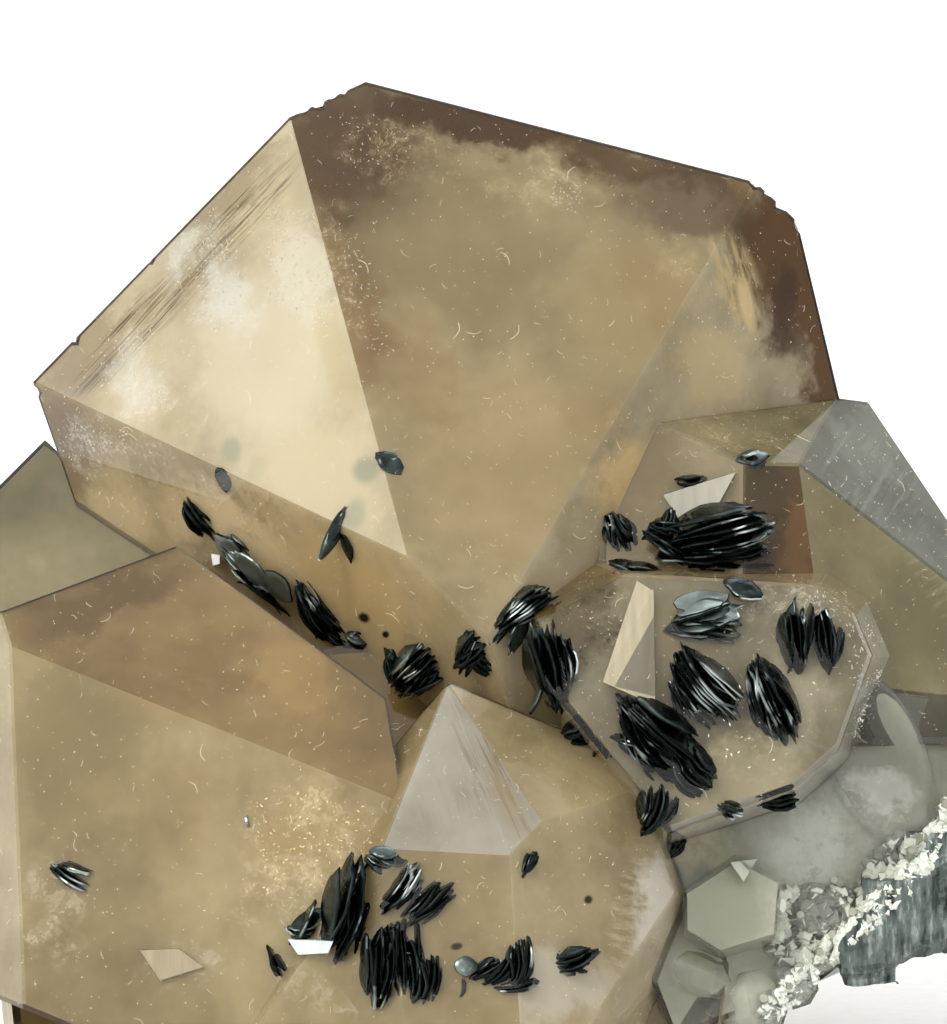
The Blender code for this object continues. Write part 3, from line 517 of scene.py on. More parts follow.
def crystalPoint(spot, width, height, rng):
    bm = bmesh.new()
    bmesh.ops.create_cone(bm, cap_ends=True, cap_tris=False, segments=6, radius1=width / 2 * mm,
                          radius2=width * 0.16 * mm, depth=height * mm)
    lean = (-away + up * rng.uniform(-0.2, 0.7) + right * rng.uniform(-0.5, 0.5)).normalized()
    turned = Vector((0, 0, 1)).rotation_difference(lean).to_matrix().to_4x4()
    turned.translation = spot
    bmesh.ops.transform(bm, matrix=turned, verts=bm.verts[:])
    for face in bm.faces:
        face.material_index = 1
    return bm


print("stage: quartz materials")
# Sizes are in millimetres and densities per metre; streaks are the growth lines of the left face.
quartz = {
    "ior": 1.544, "smoke": ("#D8C698", 20.0, 0.02), "grey": ("#DCDCD2", 20.0, 0.06),
    "streakWide": 0.3846, "streakLong": 9.0909, "streakDepth": 0.2, "streakShow": 0.35,
    "chip": 1.4286, "chipDepth": 0.3, "brokenRoughness": 0.4,
}


# Glassy natural faces: what lies inside shows through, slightly tinted by depth. The left face of
# the main crystal also has fine growth lines, which the eye sees as a silky sheen.
def clearQuartz(name, color, density, roughness, streaks):
    item, tree, shader, coords = newMaterial(name)
    shader.inputs["Transmission Weight"].default_value = 1.0
    shader.inputs["IOR"].default_value = quartz["ior"]
    shader.inputs["Roughness"].default_value = roughness
    if streaks:
        a, b, c = (place(p) for p in crystals["main"]["faces"]["left"])
        normal = (b - a).cross(c - a).normalized()
        along = (c - a).normalized()
        across = normal.cross(along)
        facing = addNode(tree, "ShaderNodeVectorMath", {1: normal},
                         {0: addNode(tree, "ShaderNodeNewGeometry").outputs["True Normal"]},
                         operation="DOT_PRODUCT")
        level = addNode(tree, "ShaderNodeMath", links={0: facing.outputs["Value"]}, operation="ABSOLUTE")
        mask = addNode(tree, "ShaderNodeMapRange", {"From Min": 0.97, "From Max": 0.99},
                       {"Value": level.outputs[0]})
        u = addNode(tree, "ShaderNodeVectorMath", {1: across * scaleOf(quartz["streakWide"])}, {0: coords},
                    operation="DOT_PRODUCT")
        v = addNode(tree, "ShaderNodeVectorMath", {1: along * scaleOf(quartz["streakLong"])}, {0: coords},
                    operation="DOT_PRODUCT")
        spot = addNode(tree, "ShaderNodeCombineXYZ", links={"X": u.outputs["Value"], "Y": v.outputs["Value"]})
        lines = addNode(tree, "ShaderNodeTexNoise", {"Scale": 1.0, "Detail": 2.0},
                        {"Vector": spot.outputs[0]})
        height = addNode(tree, "ShaderNodeMath", links={0: lines.outputs["Fac"], 1: mask.outputs["Result"]},
                         operation="MULTIPLY")
        bump = addNode(tree, "ShaderNodeBump",
                       {"Strength": quartz["streakShow"], "Distance": quartz["streakDepth"] * mm},
                       {"Height": height.outputs[0]})
        tree.links.new(bump.outputs["Normal"], shader.inputs["Normal"])
    volume = addNode(tree, "ShaderNodeVolumeAbsorption", {"Color": toLinear(color), "Density": density})
    tree.links.new(volume.outputs[0], tree.nodes["Material Output"].inputs["Volume"])
    return item


# Broken quartz: frosted and blotched, with small shell-like chips that scatter the light.
def brokenQuartz(name, light, dark, grainSize):
    item, tree, shader, coords = newMaterial(name)
    blotch = addNode(tree, "ShaderNodeTexNoise",
                     {"Scale": scaleOf(grainSize), "Detail": 6.0, "Roughness": 0.62}, {"Vector": coords})
    color = addNode(tree, "ShaderNodeValToRGB", links={"Fac": blotch.outputs["Fac"]},
                    stops=[(0.32, toLinear(dark)), (0.7, toLinear(light))])
    tree.links.new(color.outputs["Color"], shader.inputs["Base Color"])
    chips = addNode(tree, "ShaderNodeTexVoronoi", {"Scale": scaleOf(quartz["chip"])}, {"Vector": coords})
    bump = addNode(tree, "ShaderNodeBump", {"Strength": 0.5, "Distance": quartz["chipDepth"] * mm},
                   {"Height": chips.outputs["Distance"]})
    tree.links.new(bump.outputs["Normal"], shader.inputs["Normal"])
    shader.inputs["Roughness"].default_value = quartz["brokenRoughness"]
    return item


shellMaterials = {
    "smoky": [clearQuartz("smoky quartz, natural crystal faces", *quartz["smoke"], True),
              brokenQuartz("smoky quartz, broken and frosted", "#B9AA86", "#94825C", 5.0)],
    "grey": [clearQuartz("grey quartz, natural crystal faces", *quartz["grey"], False),
             brokenQuartz("grey quartz, broken", "#A6A798", "#707265", 3.0)],
}

print("stage: crystals")
# Small pieces broken off the top edges: right, up, away and size.
chips = (
    (-10.5, 24.45, 5.9, 1.1), (-9.5, 25.0, 6.2, 1.3), (-8.7, 25.35, 6.4, 0.9), (-7.9, 25.75, 6.7, 1.2),
    (16.9, 19.95, 6.6, 0.7), (17.8, 19.3, 7.2, 0.8), (18.7, 18.5, 8.2, 0.9), (19.7, 17.2, 9.2, 0.7),
    (-14.4, 20.3, 7.6, 0.5), (-19.2, 15.4, 9.4, 0.6), (-24.0, 10.4, 11.1, 0.5), (-26.45, 7.2, 12.2, 0.8),
)
chipSeed = 4
rng = random.Random(7)
groups = {
    "smoky": ["main", "lower left", "lower centre", "upper right", "root", "clear right"],
    "grey": ["grey left", "grey mass", "small hexagon"],
}
surface = surfaceOf([cutBlock(**crystals[name]) for name in crystals])
rootTones = {name: int(name not in ("top", "front")) for name in crystals["root"]["faces"]}
shells = []
for group, names in groups.items():
    blocks = [cutBlock(tones=rootTones if name == "root" else None, **crystals[name]) for name in names]
    if group == "smoky":
        blocks += [lump(onBack(x, y, sink), size, rng) for x, y, size, sink in backLumps]
    if group == "grey":
        blocks += [lobe(*said) for said in lobes]
        blocks += [crystalPoint(onFace(x, y, 0.5), wide, high, rng) for x, y, wide, high in druse]
    shell = unite("shell " + group, blocks, shellMaterials[group])
    if group == "smoky":
        chipOff(shell, chips, chipSeed)
    flatBase(shell, 1)
    shells.append(shell)
rockDraws = random.Random()
rockDraws.setstate(rng.getstate())

print("stage: cloudy inner quartz")
# Tones of the cloudy quartz just under each face: light and dark colour.
cloudTones = {
    # pale: the quartz's own cream, brightened in part as a painted reflection of the studio light on the main
    # crystal's left face
    "pale": ("#FFF3D2", "#EAD9AC"), "tan": ("#D6C49A", "#BDA878"), "brown": ("#BC9B62", "#8E6D3C"),
    "lightTan": ("#D2C193", "#BDA673"), "ochre": ("#BDA46E", "#9A7D48"),
    # greyWhite: its own whitish grey, in part a painted reflection of the white surroundings on the lower
    # centre crystal's bright triangle
    "greyWhite": ("#E6E3D4", "#D0CAB6"), "grey": ("#E4E5D2", "#C2C3AC"), "dark": ("#D2C29A", "#AE9C72"),
    "red": ("#8C7450", "#5E4A30"), "broken": ("#D6C79C", "#A08C60"),
    "greyGreen": ("#EEF0DE", "#CCCEB8"), "edge": ("#9C7E52", "#69502F"),
    # below: its own pale tan, lightened as painted light that lifts the shade in the seam with the lower left
    # crystal
    "below": ("#EFDCB2", "#D8C292"), "etched": ("#9DA08E", "#7C7F68"), "olive": ("#C6BB92", "#A0966E"),
    # bright: near white under the rim faces of the clear crystal, a painted highlight along its rim
    "lit": ("#E9DAB2", "#D2BE8E"), "glass": ("#E2D8B4", "#B6A87E"), "bright": ("#FFFDF2", "#F0EAD8"),
    "right": ("#F6EAC8", "#E4D4AC"),
}
toneNames = list(cloudTones)
# For each crystal how far inside its faces the cloud begins, in millimetres, and the tone under
# each face; a face with a depth of its own has it after its tone.
cloudFaces = {
    "main": (0.2, {"centre": ("tan",), "left": ("pale",), "below left": ("below", 0.2),
                   "right": ("right",), "left back": ("pale", 0.1), "low left back": ("tan", 0.1),
                   "right back": ("brown", 0.2), "top back": ("edge", 0.12), "tip chip": ("edge", 0.15),
                   "back": ("brown", 0.5)}),
    "lower left": (0.3, {"upper": ("ochre",), "front": ("lightTan",), "left": ("lit",),
                         "top left back": ("ochre", 0.1), "top right back": ("lit", 0.1),
                         "right": ("lit", 0.15), "right low": ("lit", 0.15)}),
    "lower centre": (0.3, {"bright": ("greyWhite",), "striated": ("greyWhite",),
                           "slim left": ("tan", 0.2), "right upper": ("lit", 0.3), "front": ("lightTan",),
                           "front right": ("lit",), "left low": ("lightTan",), "rim": ("pale", 0.3),
                           "rim low": ("pale", 0.3), "top back": ("tan", 0.2), "left back": ("tan", 0.2)}),
    "upper right": (0.4, {"dark": ("dark",), "sparkling": ("olive",), "red brown": ("red",),
                          "light brown": ("olive",), "etched": ("etched", 0.4),
                          "etched top": ("etched", 0.3), "etched edge": ("etched", 0.3),
                          "top back": ("etched", 0.3)}),
    "clear right": (1.1, {"front": ("glass",), "front upper": ("glass",), "upper left": ("ochre", 0.5),
                          "top left": ("tan", 0.5), "top": ("tan", 0.5), "upper right": ("lightTan", 0.5),
                          # the rim faces take the bright tone, a painted highlight along the rim
                          "right top": ("bright", 0.4), "right": ("bright", 0.4),
                          "lower right": ("bright", 0.5), "bottom": ("bright", 0.5),
                          "lower left": ("bright", 0.5), "left low": ("lit", 0.5), "left": ("olive", 0.3),
                          "far left": ("olive", 0.3)}),
    "grey mass": (0.4, {"front": ("greyGreen",), "upper": ("grey",), "right front": ("grey",),
                        "top right": ("grey", 0.3), "right": ("grey", 0.3), "under": ("greyGreen", 0.3),
                        "under right": ("greyGreen", 0.3), "left low": ("greyGreen", 0.3)}),
    "small hexagon": (0.2, {face: ("greyGreen",) for face in crystals["small hexagon"]["faces"]}),
    "grey left": (0.3, {"front": ("olive",), "top back": ("grey", 0.2), "left": ("grey", 0.3)}),
    "root": (0.5, {"top": ("ochre",), "front": ("ochre",), "left": ("ochre",), "right": ("ochre",)}),
}
# Zones inside the quartz with a colour of their own, and a few marked below that are painted light: the
# tones they show in, right, up, half width, half height, angle, colour and how strong they are. Zones
# made of wisps or streaks then have the length and thickness of those, in millimetres.
cloudZones = (
    # top of the main crystal: brown left end, thin dark band along the edge, veils of fine cracks
    ("tan", -8.0, 21.6, 8.0, 6.0, -30, "#563608", 0.88),
    ("tan", 0.0, 23.6, 11.0, 2.4, -14.4, "#573A0A", 0.98),
    ("tan", 11.0, 20.8, 9.0, 2.2, -14.4, "#654712", 0.85),
    ("tan", -7.4, 13.0, 2.8, 9.0, 16, "#8E6E40", 0.7), ("tan", 3.6, 2.0, 9.0, 10.0, 0, "#CDB887", 0.4),
    ("tan", -1.0, 16.0, 9.0, 6.0, -10, "#93835A", 0.6), ("tan", 9.0, 12.0, 5.5, 7.0, 0, "#BDAA7C", 0.6),
    ("tan", 4.8, 19.4, 2.6, 1.6, -10, "#EBDDBA", 0.85, 0.5, 0.3),
    ("tan", -5.4, 22.0, 3.4, 2.6, 0, "#D3BC8C", 0.75, 0.55, 0.3),
    ("tan", -8.0, 14.6, 1.5, 6.0, 10, "#F2E2B4", 0.8, 0.5, 0.3),
    ("tan", 1.5, 20.4, 8.0, 1.8, -14, "#D6C494", 0.6, 1.4, 0.5),
    ("tan", -3.0, 8.0, 2.4, 5.0, 10, "#A5854E", 0.4),
    # its right side: dark corner and edge, golden streak, soft brown swirls
    ("tan right", 18.9, 16.0, 6.0, 7.8, 12, "#7A5624", 1.0),
    ("tan right", 21.2, 9.6, 2.8, 9.0, 11, "#7A5428", 0.98),
    ("tan right", 13.0, 18.2, 6.4, 3.2, -18, "#5E4524", 0.7),
    ("tan right", 12.4, 10.4, 2.6, 9.0, 27, "#A58A58", 0.4),
    ("tan right", 8.4, 2.6, 2.0, 6.6, 24, "#A58654", 0.35),
    ("tan right", 15.8, 13.6, 1.7, 4.4, 16, "#F4DCA4", 0.75, 0.5, 2.4),
    ("tan right", 16.3, 12.6, 0.7, 2.2, 12, "#FFE9B4", 0.9),
    ("tan right", 18.4, 12.4, 1.6, 4.0, 8, "#553A16", 0.8),
    ("tan right", 14.4, 8.4, 3.4, 4.0, 0, "#F0DCAE", 0.7),
    ("tan right", 10.4, 1.4, 4.0, 5.0, 0, "#FFE4AA", 0.85),
    ("tan right", 13.0, 13.6, 1.4, 3.0, 20, "#E9D19A", 0.6, 0.7, 0.35),
    # its left face: cream middle, band with dark growth streaks along the outer edge, white veils
    ("pale", -12.6, 9.6, 8.6, 8.6, 0, "#F6EED4", 0.8),
    ("pale", -9.0, 2.0, 5.2, 5.4, 0, "#F0E3C2", 0.85),
    ("pale", -23.6, 8.2, 3.6, 2.4, 34, "#B9AE9C", 0.8),
    ("pale", -14.8, 18.6, 7.0, 1.4, 45.9, "#BCAD88", 0.85),
    ("pale", -22.6, 10.4, 6.0, 1.2, 45.9, "#BEAC88", 0.75),
    ("pale", -14.4, 17.2, 7.0, 1.5, 45.9, "#6A5530", 0.9, 5.0, 0.16),
    ("pale", -20.2, 11.0, 6.5, 1.5, 45.9, "#705A38", 0.9, 5.0, 0.16),
    ("pale", -16.4, 14.4, 6.0, 1.4, 45.9, "#A38C5C", 0.7, 4.0, 0.2),
    ("pale", -17.0, 15.6, 2.6, 2.0, 45.9, "#FFFFF0", 0.8, 0.55, 0.3),
    ("pale", -14.8, 12.6, 2.2, 2.8, 20, "#FFFFF6", 0.8, 0.55, 0.32),
    ("pale", -10.2, 15.0, 2.6, 5.4, 18, "#FFFCE8", 1.0, 0.6, 0.35),
    ("pale", -10.9, 16.6, 2.2, 4.6, 18, "#B8985A", 0.7, 0.9, 0.4),
    ("pale", -19.8, 7.2, 2.4, 2.8, 0, "#FFFDF0", 0.8, 0.6, 0.35),
    ("pale", -8.4, 10.0, 1.2, 6.0, 19, "#E6D6A8", 0.6),
    ("pale", -14.6, 12.8, 2.0, 3.4, 10, "#FFFFFA", 0.5),
    ("pale", -10.4, 14.6, 2.2, 4.8, 20, "#FFFBE6", 0.6),
    ("pale", -17.4, 15.4, 3.0, 1.6, 45, "#FFFFF6", 0.5),
    ("pale", -20.4, 8.2, 2.4, 3.4, 30, "#FFFEF4", 0.45),
    # lower left crystal: golden cracks, soft brown edges, pale flakes and end strip
    ("lightTan", -9.4, -19.4, 5.0, 4.0, 0, "#CDB07C", 0.5),
    ("lightTan", -9.4, -19.6, 5.6, 4.4, 0, "#FFF0C8", 0.65, 1.2, 0.7),
    ("lightTan", -24.0, -13.5, 5.4, 5.2, 0, "#9C8A5E", 0.5),
    ("lightTan", -11.0, -11.6, 7.4, 3.0, -28, "#A08654", 0.55),
    ("lightTan", -10.6, -22.8, 4.0, 2.0, 20, "#FFEFC8", 0.9, 0.55, 0.3),
    ("lightTan", -18.0, -10.6, 6.0, 3.0, 0, "#BFA570", 0.5),
    ("lightTan", -20.0, -18.0, 5.0, 4.0, 0, "#BCA06C", 0.6, 2.0, 1.2),
    ("lightTan", -17.6, -27.0, 3.0, 1.2, -6, "#EFE6CC", 0.95, 2.0, 0.9),
    ("lightTan", -9.8, -28.8, 3.6, 1.3, -24, "#E8DDC0", 0.95, 2.0, 0.9),
    ("lightTan", -25.4, -24.6, 2.4, 4.0, 0, "#F2E8CC", 0.7, 1.2, 0.6),
    ("lightTan", -7.4, -12.6, 1.4, 5.0, 0, "#8E6F3E", 0.5),
    ("lit", 5.4, -28.4, 6.0, 2.6, 0, "#F6EEDA", 0.8),
    ("lit", 9.4, -24.0, 1.6, 4.6, -16, "#F4E6C4", 0.6, 2.0, 0.5),
    ("ochre", -22.0, -5.4, 8.0, 2.2, 24, "#735A30", 0.75),
    ("ochre", -11.0, -10.0, 4.6, 3.4, -30, "#C9AA6C", 0.5),
    ("ochre", -16.0, -9.4, 5.0, 1.2, -28, "#8A6E40", 0.5),
    ("greyWhite", -0.6, -16.0, 4.0, 6.4, 20, "#BDB7A4", 0.6, 0.35, 3.0),
    ("greyWhite", 1.1, -15.4, 1.5, 6.2, 27, "#8C7C5C", 0.85, 0.24, 4.0),
    ("greyWhite", 1.9, -17.4, 1.0, 3.6, 27, "#B8A684", 0.6),
    # below the left face of the main crystal
    ("below", -19.0, 3.6, 12.0, 2.6, -25, "#A8925F", 0.55),
    ("below", -14.0, -1.6, 9.0, 2.6, -30, "#FBE6B8", 0.8),
    ("below", -24.8, 4.0, 3.4, 5.0, 10, "#9C866A", 0.85),
    ("below", -22.6, 4.2, 2.2, 2.0, 0, "#FFFFF6", 0.95, 0.45, 0.3),
    ("below", -19.8, 3.4, 2.0, 1.6, 0, "#FBF2DA", 0.85, 0.45, 0.3),
    ("below", -14.0, 1.6, 5.4, 1.4, -28, "#A88D60", 0.7, 1.4, 0.7),
    ("below", -21.6, -0.6, 3.6, 3.0, 0, "#F0DCAE", 0.6),
    ("below", -7.2, -4.4, 6.5, 3.0, -32, "#E6CB92", 0.7),
    # clear crystal at the right: dark mossy patch, bright rim zones painted as a highlight, rosy cracks
    ("olive", 6.2, -6.2, 3.4, 4.4, 0, "#5A4A26", 0.75),
    ("ochre", 6.2, -6.2, 3.4, 4.4, 0, "#5A4A26", 0.75),
    ("lightTan", 6.2, -6.2, 3.4, 4.4, 0, "#5A4A26", 0.6),
    ("tan", 6.2, -6.2, 3.0, 4.0, 0, "#5A4A26", 0.5), ("glass", 6.2, -6.0, 3.4, 4.4, 0, "#6A5A34", 0.9),
    ("glass", 6.2, -6.0, 3.4, 4.2, 0, "#463817", 1.0, 1.0, 0.6),
    ("ochre", 6.2, -6.0, 3.0, 4.2, 0, "#4E401F", 1.0, 1.0, 0.6),
    ("glass", 18.6, -5.6, 4.0, 1.6, 0, "#FFF8E0", 0.9, 0.6, 0.35),
    ("glass", 17.0, -14.4, 4.6, 2.6, 30, "#F2E2C4", 0.8, 1.2, 0.7),
    ("dark", 10.4, 3.2, 4.0, 4.0, 0, "#6E5E38", 0.4), ("red", 19.8, -1.6, 2.2, 3.4, 0, "#9A7240", 0.6),
    ("red", 17.4, 1.6, 1.6, 2.0, 0, "#5C5440", 0.6), ("glass", 12.0, -8.0, 4.6, 3.0, 0, "#A08C5C", 0.5),
    ("glass", 16.0, -16.0, 6.0, 3.6, 28, "#D9CCA4", 0.6),
    ("glass", 19.4, -11.6, 2.4, 4.0, 0, "#E4DAB8", 0.6),
    # crystal at the upper right and the grey mass
    ("olive", 15.0, 4.4, 5.4, 1.4, -8, "#E2D2A2", 0.8, 0.6, 0.4),
    ("etched", 24.0, 4.0, 4.4, 3.4, 0, "#ADB09C", 0.6),
    ("etched", 24.0, 1.6, 7.0, 5.0, 52, "#B9BCA8", 0.5, 5.0, 0.5),
    ("etched", 26.0, -0.6, 5.0, 3.0, 46, "#85876F", 0.5, 3.0, 0.25),
    ("olive", 26.4, -6.0, 3.0, 6.0, 0, "#8C845E", 0.6),
    ("olive", 27.4, -4.0, 1.2, 5.0, 30, "#B8B292", 0.6, 2.5, 0.4),
    ("greyGreen", 24.6, -17.2, 2.8, 2.4, 0, "#FFFFF0", 0.8, 1.2, 0.7),
    ("greyGreen", 26.0, -10.8, 3.4, 4.0, 0, "#DEDAC0", 0.3),
    ("greyGreen", 20.0, -14.4, 2.6, 3.6, 0, "#C9C6AC", 0.5, 2.5, 0.4),
    ("greyGreen", 13.4, -27.6, 3.0, 2.4, 20, "#84846C", 0.6),
    # three grey spots in the pale tone: painted refraction ghosts, doubled images of nearby hematite plates
    ("pale", -14.5, 3.7, 0.9, 1.1, 0, "#B9BBA0", 0.7), ("pale", -6.4, 2.5, 1.1, 1.1, 0, "#B4B69C", 0.8),
    ("pale", -7.1, -0.2, 0.9, 1.4, -20, "#C0C2A8", 0.7),
    ("greyGreen", 15.4, -23.8, 4.0, 4.0, 0, "#A9A992", 0.6),
    ("grey", 20.4, -19.8, 4.6, 3.8, 0, "#EDF0E2", 1.0),
    ("grey", 20.4, -19.4, 5.0, 4.0, 20, "#C0C2B2", 0.7, 1.6, 0.9),
    # near-white zone in the crevice under the clear crystal: painted light that lifts the crevice's shade
    ("grey", 13.4, -19.6, 2.8, 2.8, 0, "#E6DEBC", 1.0),
    ("grey", 14.0, -19.6, 3.4, 2.0, 30, "#BDB38C", 0.7, 1.2, 0.7),
    ("greyGreen", 24.3, -16.6, 2.4, 1.8, 0, "#F0F0E6", 0.7),
    ("pale", 11.0, -23.6, 2.0, 4.0, -16, "#FFF4DC", 0.7),
    ("lit", 11.0, -23.6, 2.2, 4.4, -16, "#FFFAEE", 0.85),
    ("lit", 7.0, -18.2, 4.0, 4.0, 0, "#EAD9AE", 0.25),
    ("below", -6.5, -6.3, 0.5, 0.4, -30, "#2E2012", 1.0),
    ("below", -5.2, -7.3, 0.3, 0.3, 0, "#2E2012", 1.0),
    ("lit", 0.9, -25.9, 0.5, 0.35, 20, "#3A2A18", 1.0),
    ("lit", 6.8, -23.3, 0.35, 0.35, 0, "#3A2A18", 1.0),
    ("lightTan", -1.0, -26.1, 0.5, 0.3, 10, "#3A2A18", 1.0),
    ("greyGreen", 20.4, -18.6, 3.0, 2.4, 0, "#E6E6D2", 0.6, 1.4, 0.5),
    ("greyGreen", 15.4, -23.4, 2.6, 2.4, 0, "#B8BAA2", 0.5),
)
# How much the cloud hides of what lies behind it, then in millimetres how far its colours drift, the
# sizes of its blotches, swirls, dense fields and flecks, with how few of the flecks show, and how far
# a zone is shifted and how deep it reaches. Wisps shorter than fineWisp are made of fine flecks, and
# ones more than streaked times as long as thick are streaks. A zone narrower than loose stays in its
# place. At last how far the cloud lies inside a swelling and above the base, and how much larger its
# chips are.
cloud = {
    "cover": 0.74, "glassCover": 0.5, "drift": 6.0, "blotch": 9.0909, "swirl": 3.3333, "field": 1.9231,
    "flecks": {"fine": (0.2778, 0.5), "coarse": (0.5882, 0.35)}, "fleckShow": 0.18, "shift": 3.0,
    "reach": 9.0, "fineWisp": 1.0, "streaked": 3.0, "loose": 1.4, "lobeInset": 0.6, "base": 0.6,
    "chipGrow": 0.3,
}


# Colour and clearness of the cloud after one zone is laid over it.
def addZone(tree, zone, coords, loose, flecks, color, clear):
    x, y, wide, high, angle, zoneColor, strength, *wisp = zone[1:]
    wispLong, wispThick = wisp or (0, 0)
    streaked = max(wispLong, wispThick) > cloud["streaked"] * min(wispLong, wispThick)
    still = streaked or wide < cloud["loose"]
    axes = Matrix((right, away, up)).transposed() @ Matrix.Rotation(math.radians(-angle), 3, "Y")
    spot = onFace(x, y)
    if not still:
        spot += Vector((1, 1, 1)) * cloud["shift"] * mm
    local = addNode(tree, "ShaderNodeMapping", {
        "Location": spot, "Rotation": axes.to_euler(), "Scale": (wide * mm, cloud["reach"] * mm, high * mm)},
        {"Vector": coords if still else loose}, vector_type="TEXTURE")
    ball = addNode(tree, "ShaderNodeTexGradient", links={"Vector": local.outputs["Vector"]},
                   gradient_type="SPHERICAL")
    amount = addNode(tree, "ShaderNodeMapRange", {"From Max": 0.45 if wisp else 0.6, "To Max": strength},
                     {"Value": ball.outputs["Fac"]}, interpolation_type="SMOOTHSTEP")
    share = amount.outputs["Result"]
    if wisp:
        torn = flecks["fine" if wispLong < cloud["fineWisp"] else "coarse"]
        if streaked:
            drawn = addNode(tree, "ShaderNodeMapping", {
                "Location": (x, y, strength), "Scale": (wide / wispLong, 1.0, high / wispThick)},
                {"Vector": local.outputs["Vector"]})
            lines = addNode(tree, "ShaderNodeTexNoise", {"Scale": 1.0, "Detail": 3.0, "Roughness": 0.7},
                            {"Vector": drawn.outputs["Vector"]})
            torn = addNode(tree, "ShaderNodeMapRange", {"From Min": 0.48, "From Max": 0.62},
                           {"Value": lines.outputs["Fac"]}).outputs["Result"]
        share = addNode(tree, "ShaderNodeMath", links={0: share, 1: torn}, operation="MULTIPLY").outputs[0]
    rest = addNode(tree, "ShaderNodeMath", {0: 1.0}, {1: share}, operation="SUBTRACT")
    clear = addNode(tree, "ShaderNodeMath", links={0: clear, 1: rest.outputs[0]}, operation="MULTIPLY")
    mixed = addNode(tree, "ShaderNodeMix", {7: toLinear(zoneColor)}, {0: share, 6: color}, data_type="RGBA")
    return mixed.outputs[2], clear.outputs[0]


# Cloudy quartz: milky and soft, half seen through, with the colours of its zones.
def cloudQuartz(tone, light, dark, cover):
    item, tree, shader, coords = newMaterial("cloudy quartz, " + tone)
    blotch = addNode(tree, "ShaderNodeTexNoise", {
        "Scale": scaleOf(cloud["blotch"]), "Detail": 5.0, "Roughness": 0.62}, {"Vector": coords})
    color = addNode(tree, "ShaderNodeValToRGB", links={"Fac": blotch.outputs["Fac"]},
                    stops=[(0.25, toLinear(dark)), (0.75, toLinear(light))]).outputs["Color"]
    swirl = addNode(tree, "ShaderNodeTexNoise",
                    {"Scale": scaleOf(cloud["swirl"]), "Detail": 4.0, "Roughness": 0.65}, {"Vector": coords})
    bent = addNode(tree, "ShaderNodeVectorMath", {"Scale": cloud["drift"] * mm},
                   {0: swirl.outputs["Color"]}, operation="SCALE")
    loose = addNode(tree, "ShaderNodeVectorMath", links={0: coords, 1: bent.outputs["Vector"]},
                    operation="ADD").outputs["Vector"]
    clear = addNode(tree, "ShaderNodeMapRange",
                    {"From Min": 0.3, "From Max": 0.7, "To Min": 1.15 - cover, "To Max": 0.8 - cover},
                    {"Value": blotch.outputs["Fac"]}).outputs["Result"]
    field = addNode(tree, "ShaderNodeTexNoise",
                    {"Scale": scaleOf(cloud["field"]), "Detail": 3.0, "Roughness": 0.7}, {"Vector": coords})
    dense = addNode(tree, "ShaderNodeMapRange", {"From Min": 0.4, "From Max": 0.62},
                    {"Value": field.outputs["Fac"]})
    flecks = {}
    for pattern, (size, low) in cloud["flecks"].items():
        cells = addNode(tree, "ShaderNodeTexVoronoi", {"Scale": scaleOf(size)}, {"Vector": loose})
        lone = addNode(tree, "ShaderNodeSeparateColor", links={"Color": cells.outputs["Color"]})
        fleck = addNode(tree, "ShaderNodeMapRange",
                        {"From Min": low, "From Max": 1.0, "To Min": cloud["fleckShow"]},
                        {"Value": lone.outputs["Red"]})
        flecks[pattern] = addNode(tree, "ShaderNodeMath", operation="MULTIPLY", links={
            0: dense.outputs["Result"], 1: fleck.outputs["Result"]}).outputs[0]
    for zone in cloudZones:
        if tone in zone[0].split():
            color, clear = addZone(tree, zone, coords, loose, flecks, color, clear)
    tree.links.new(color, shader.inputs["Base Color"])
    solid = addNode(tree, "ShaderNodeMath", {0: 1.0}, {1: clear}, operation="SUBTRACT")
    tree.links.new(solid.outputs[0], shader.inputs["Alpha"])
    shader.inputs["Roughness"].default_value = 0.8
    shader.inputs["Specular IOR Level"].default_value = 0.0
    return item


cloudMaterials = [cloudQuartz(tone, *colors, cloud["glassCover"] if tone == "glass" else cloud["cover"])
                  for tone, colors in cloudTones.items()]
blocks = []
for name, (inset, faces) in cloudFaces.items():
    tones = {face: toneNames.index(faces.get(face, ("broken",))[0]) for face in crystals[name]["faces"]}
    insets = {face: -said[1] for face, said in faces.items() if len(said) > 1}
    blocks.append(cutBlock(grow=-inset, tones=tones, grows=insets, **crystals[name]))
for said in lobes:
    blocks.append(lobe(*said, grow=-cloud["lobeInset"]))
    for face in blocks[-1].faces:
        face.material_index = toneNames.index("greyGreen")
for bm in blocks:
    cutOff(bm, (0, 0, cloud["base"] * mm), (0, 0, -1))
    bmesh.ops.holes_fill(bm, edges=[e for e in bm.edges if e.is_boundary])
    bmesh.ops.recalc_face_normals(bm, faces=bm.faces[:])
cloudPiece = unite("cloudy_inner_quartz", blocks, cloudMaterials)
chipOff(cloudPiece, chips, chipSeed, cloud["chipGrow"], toneNames.index("edge"))

print("stage: hematite")


# One stack of hematite plates: place in the picture, length along the plates, height across
# them, their angle from level, how many the solid has, how far they turn to the viewer, how
# much they fan out, how deep the stack sits, how deep a plate is for its length, and for a plate
# that lies flat its depth under the face.
def stack(right, up, length, height, angle, plates, turn=20, fan=14, seat=0.2, deep=0.6, lie=None):
    return {"right": right, "up": up, "length": length, "height": height, "angle": angle, "plates": plates,
            "turn": turn, "fan": fan, "seat": seat, "deep": deep, "lie": lie}


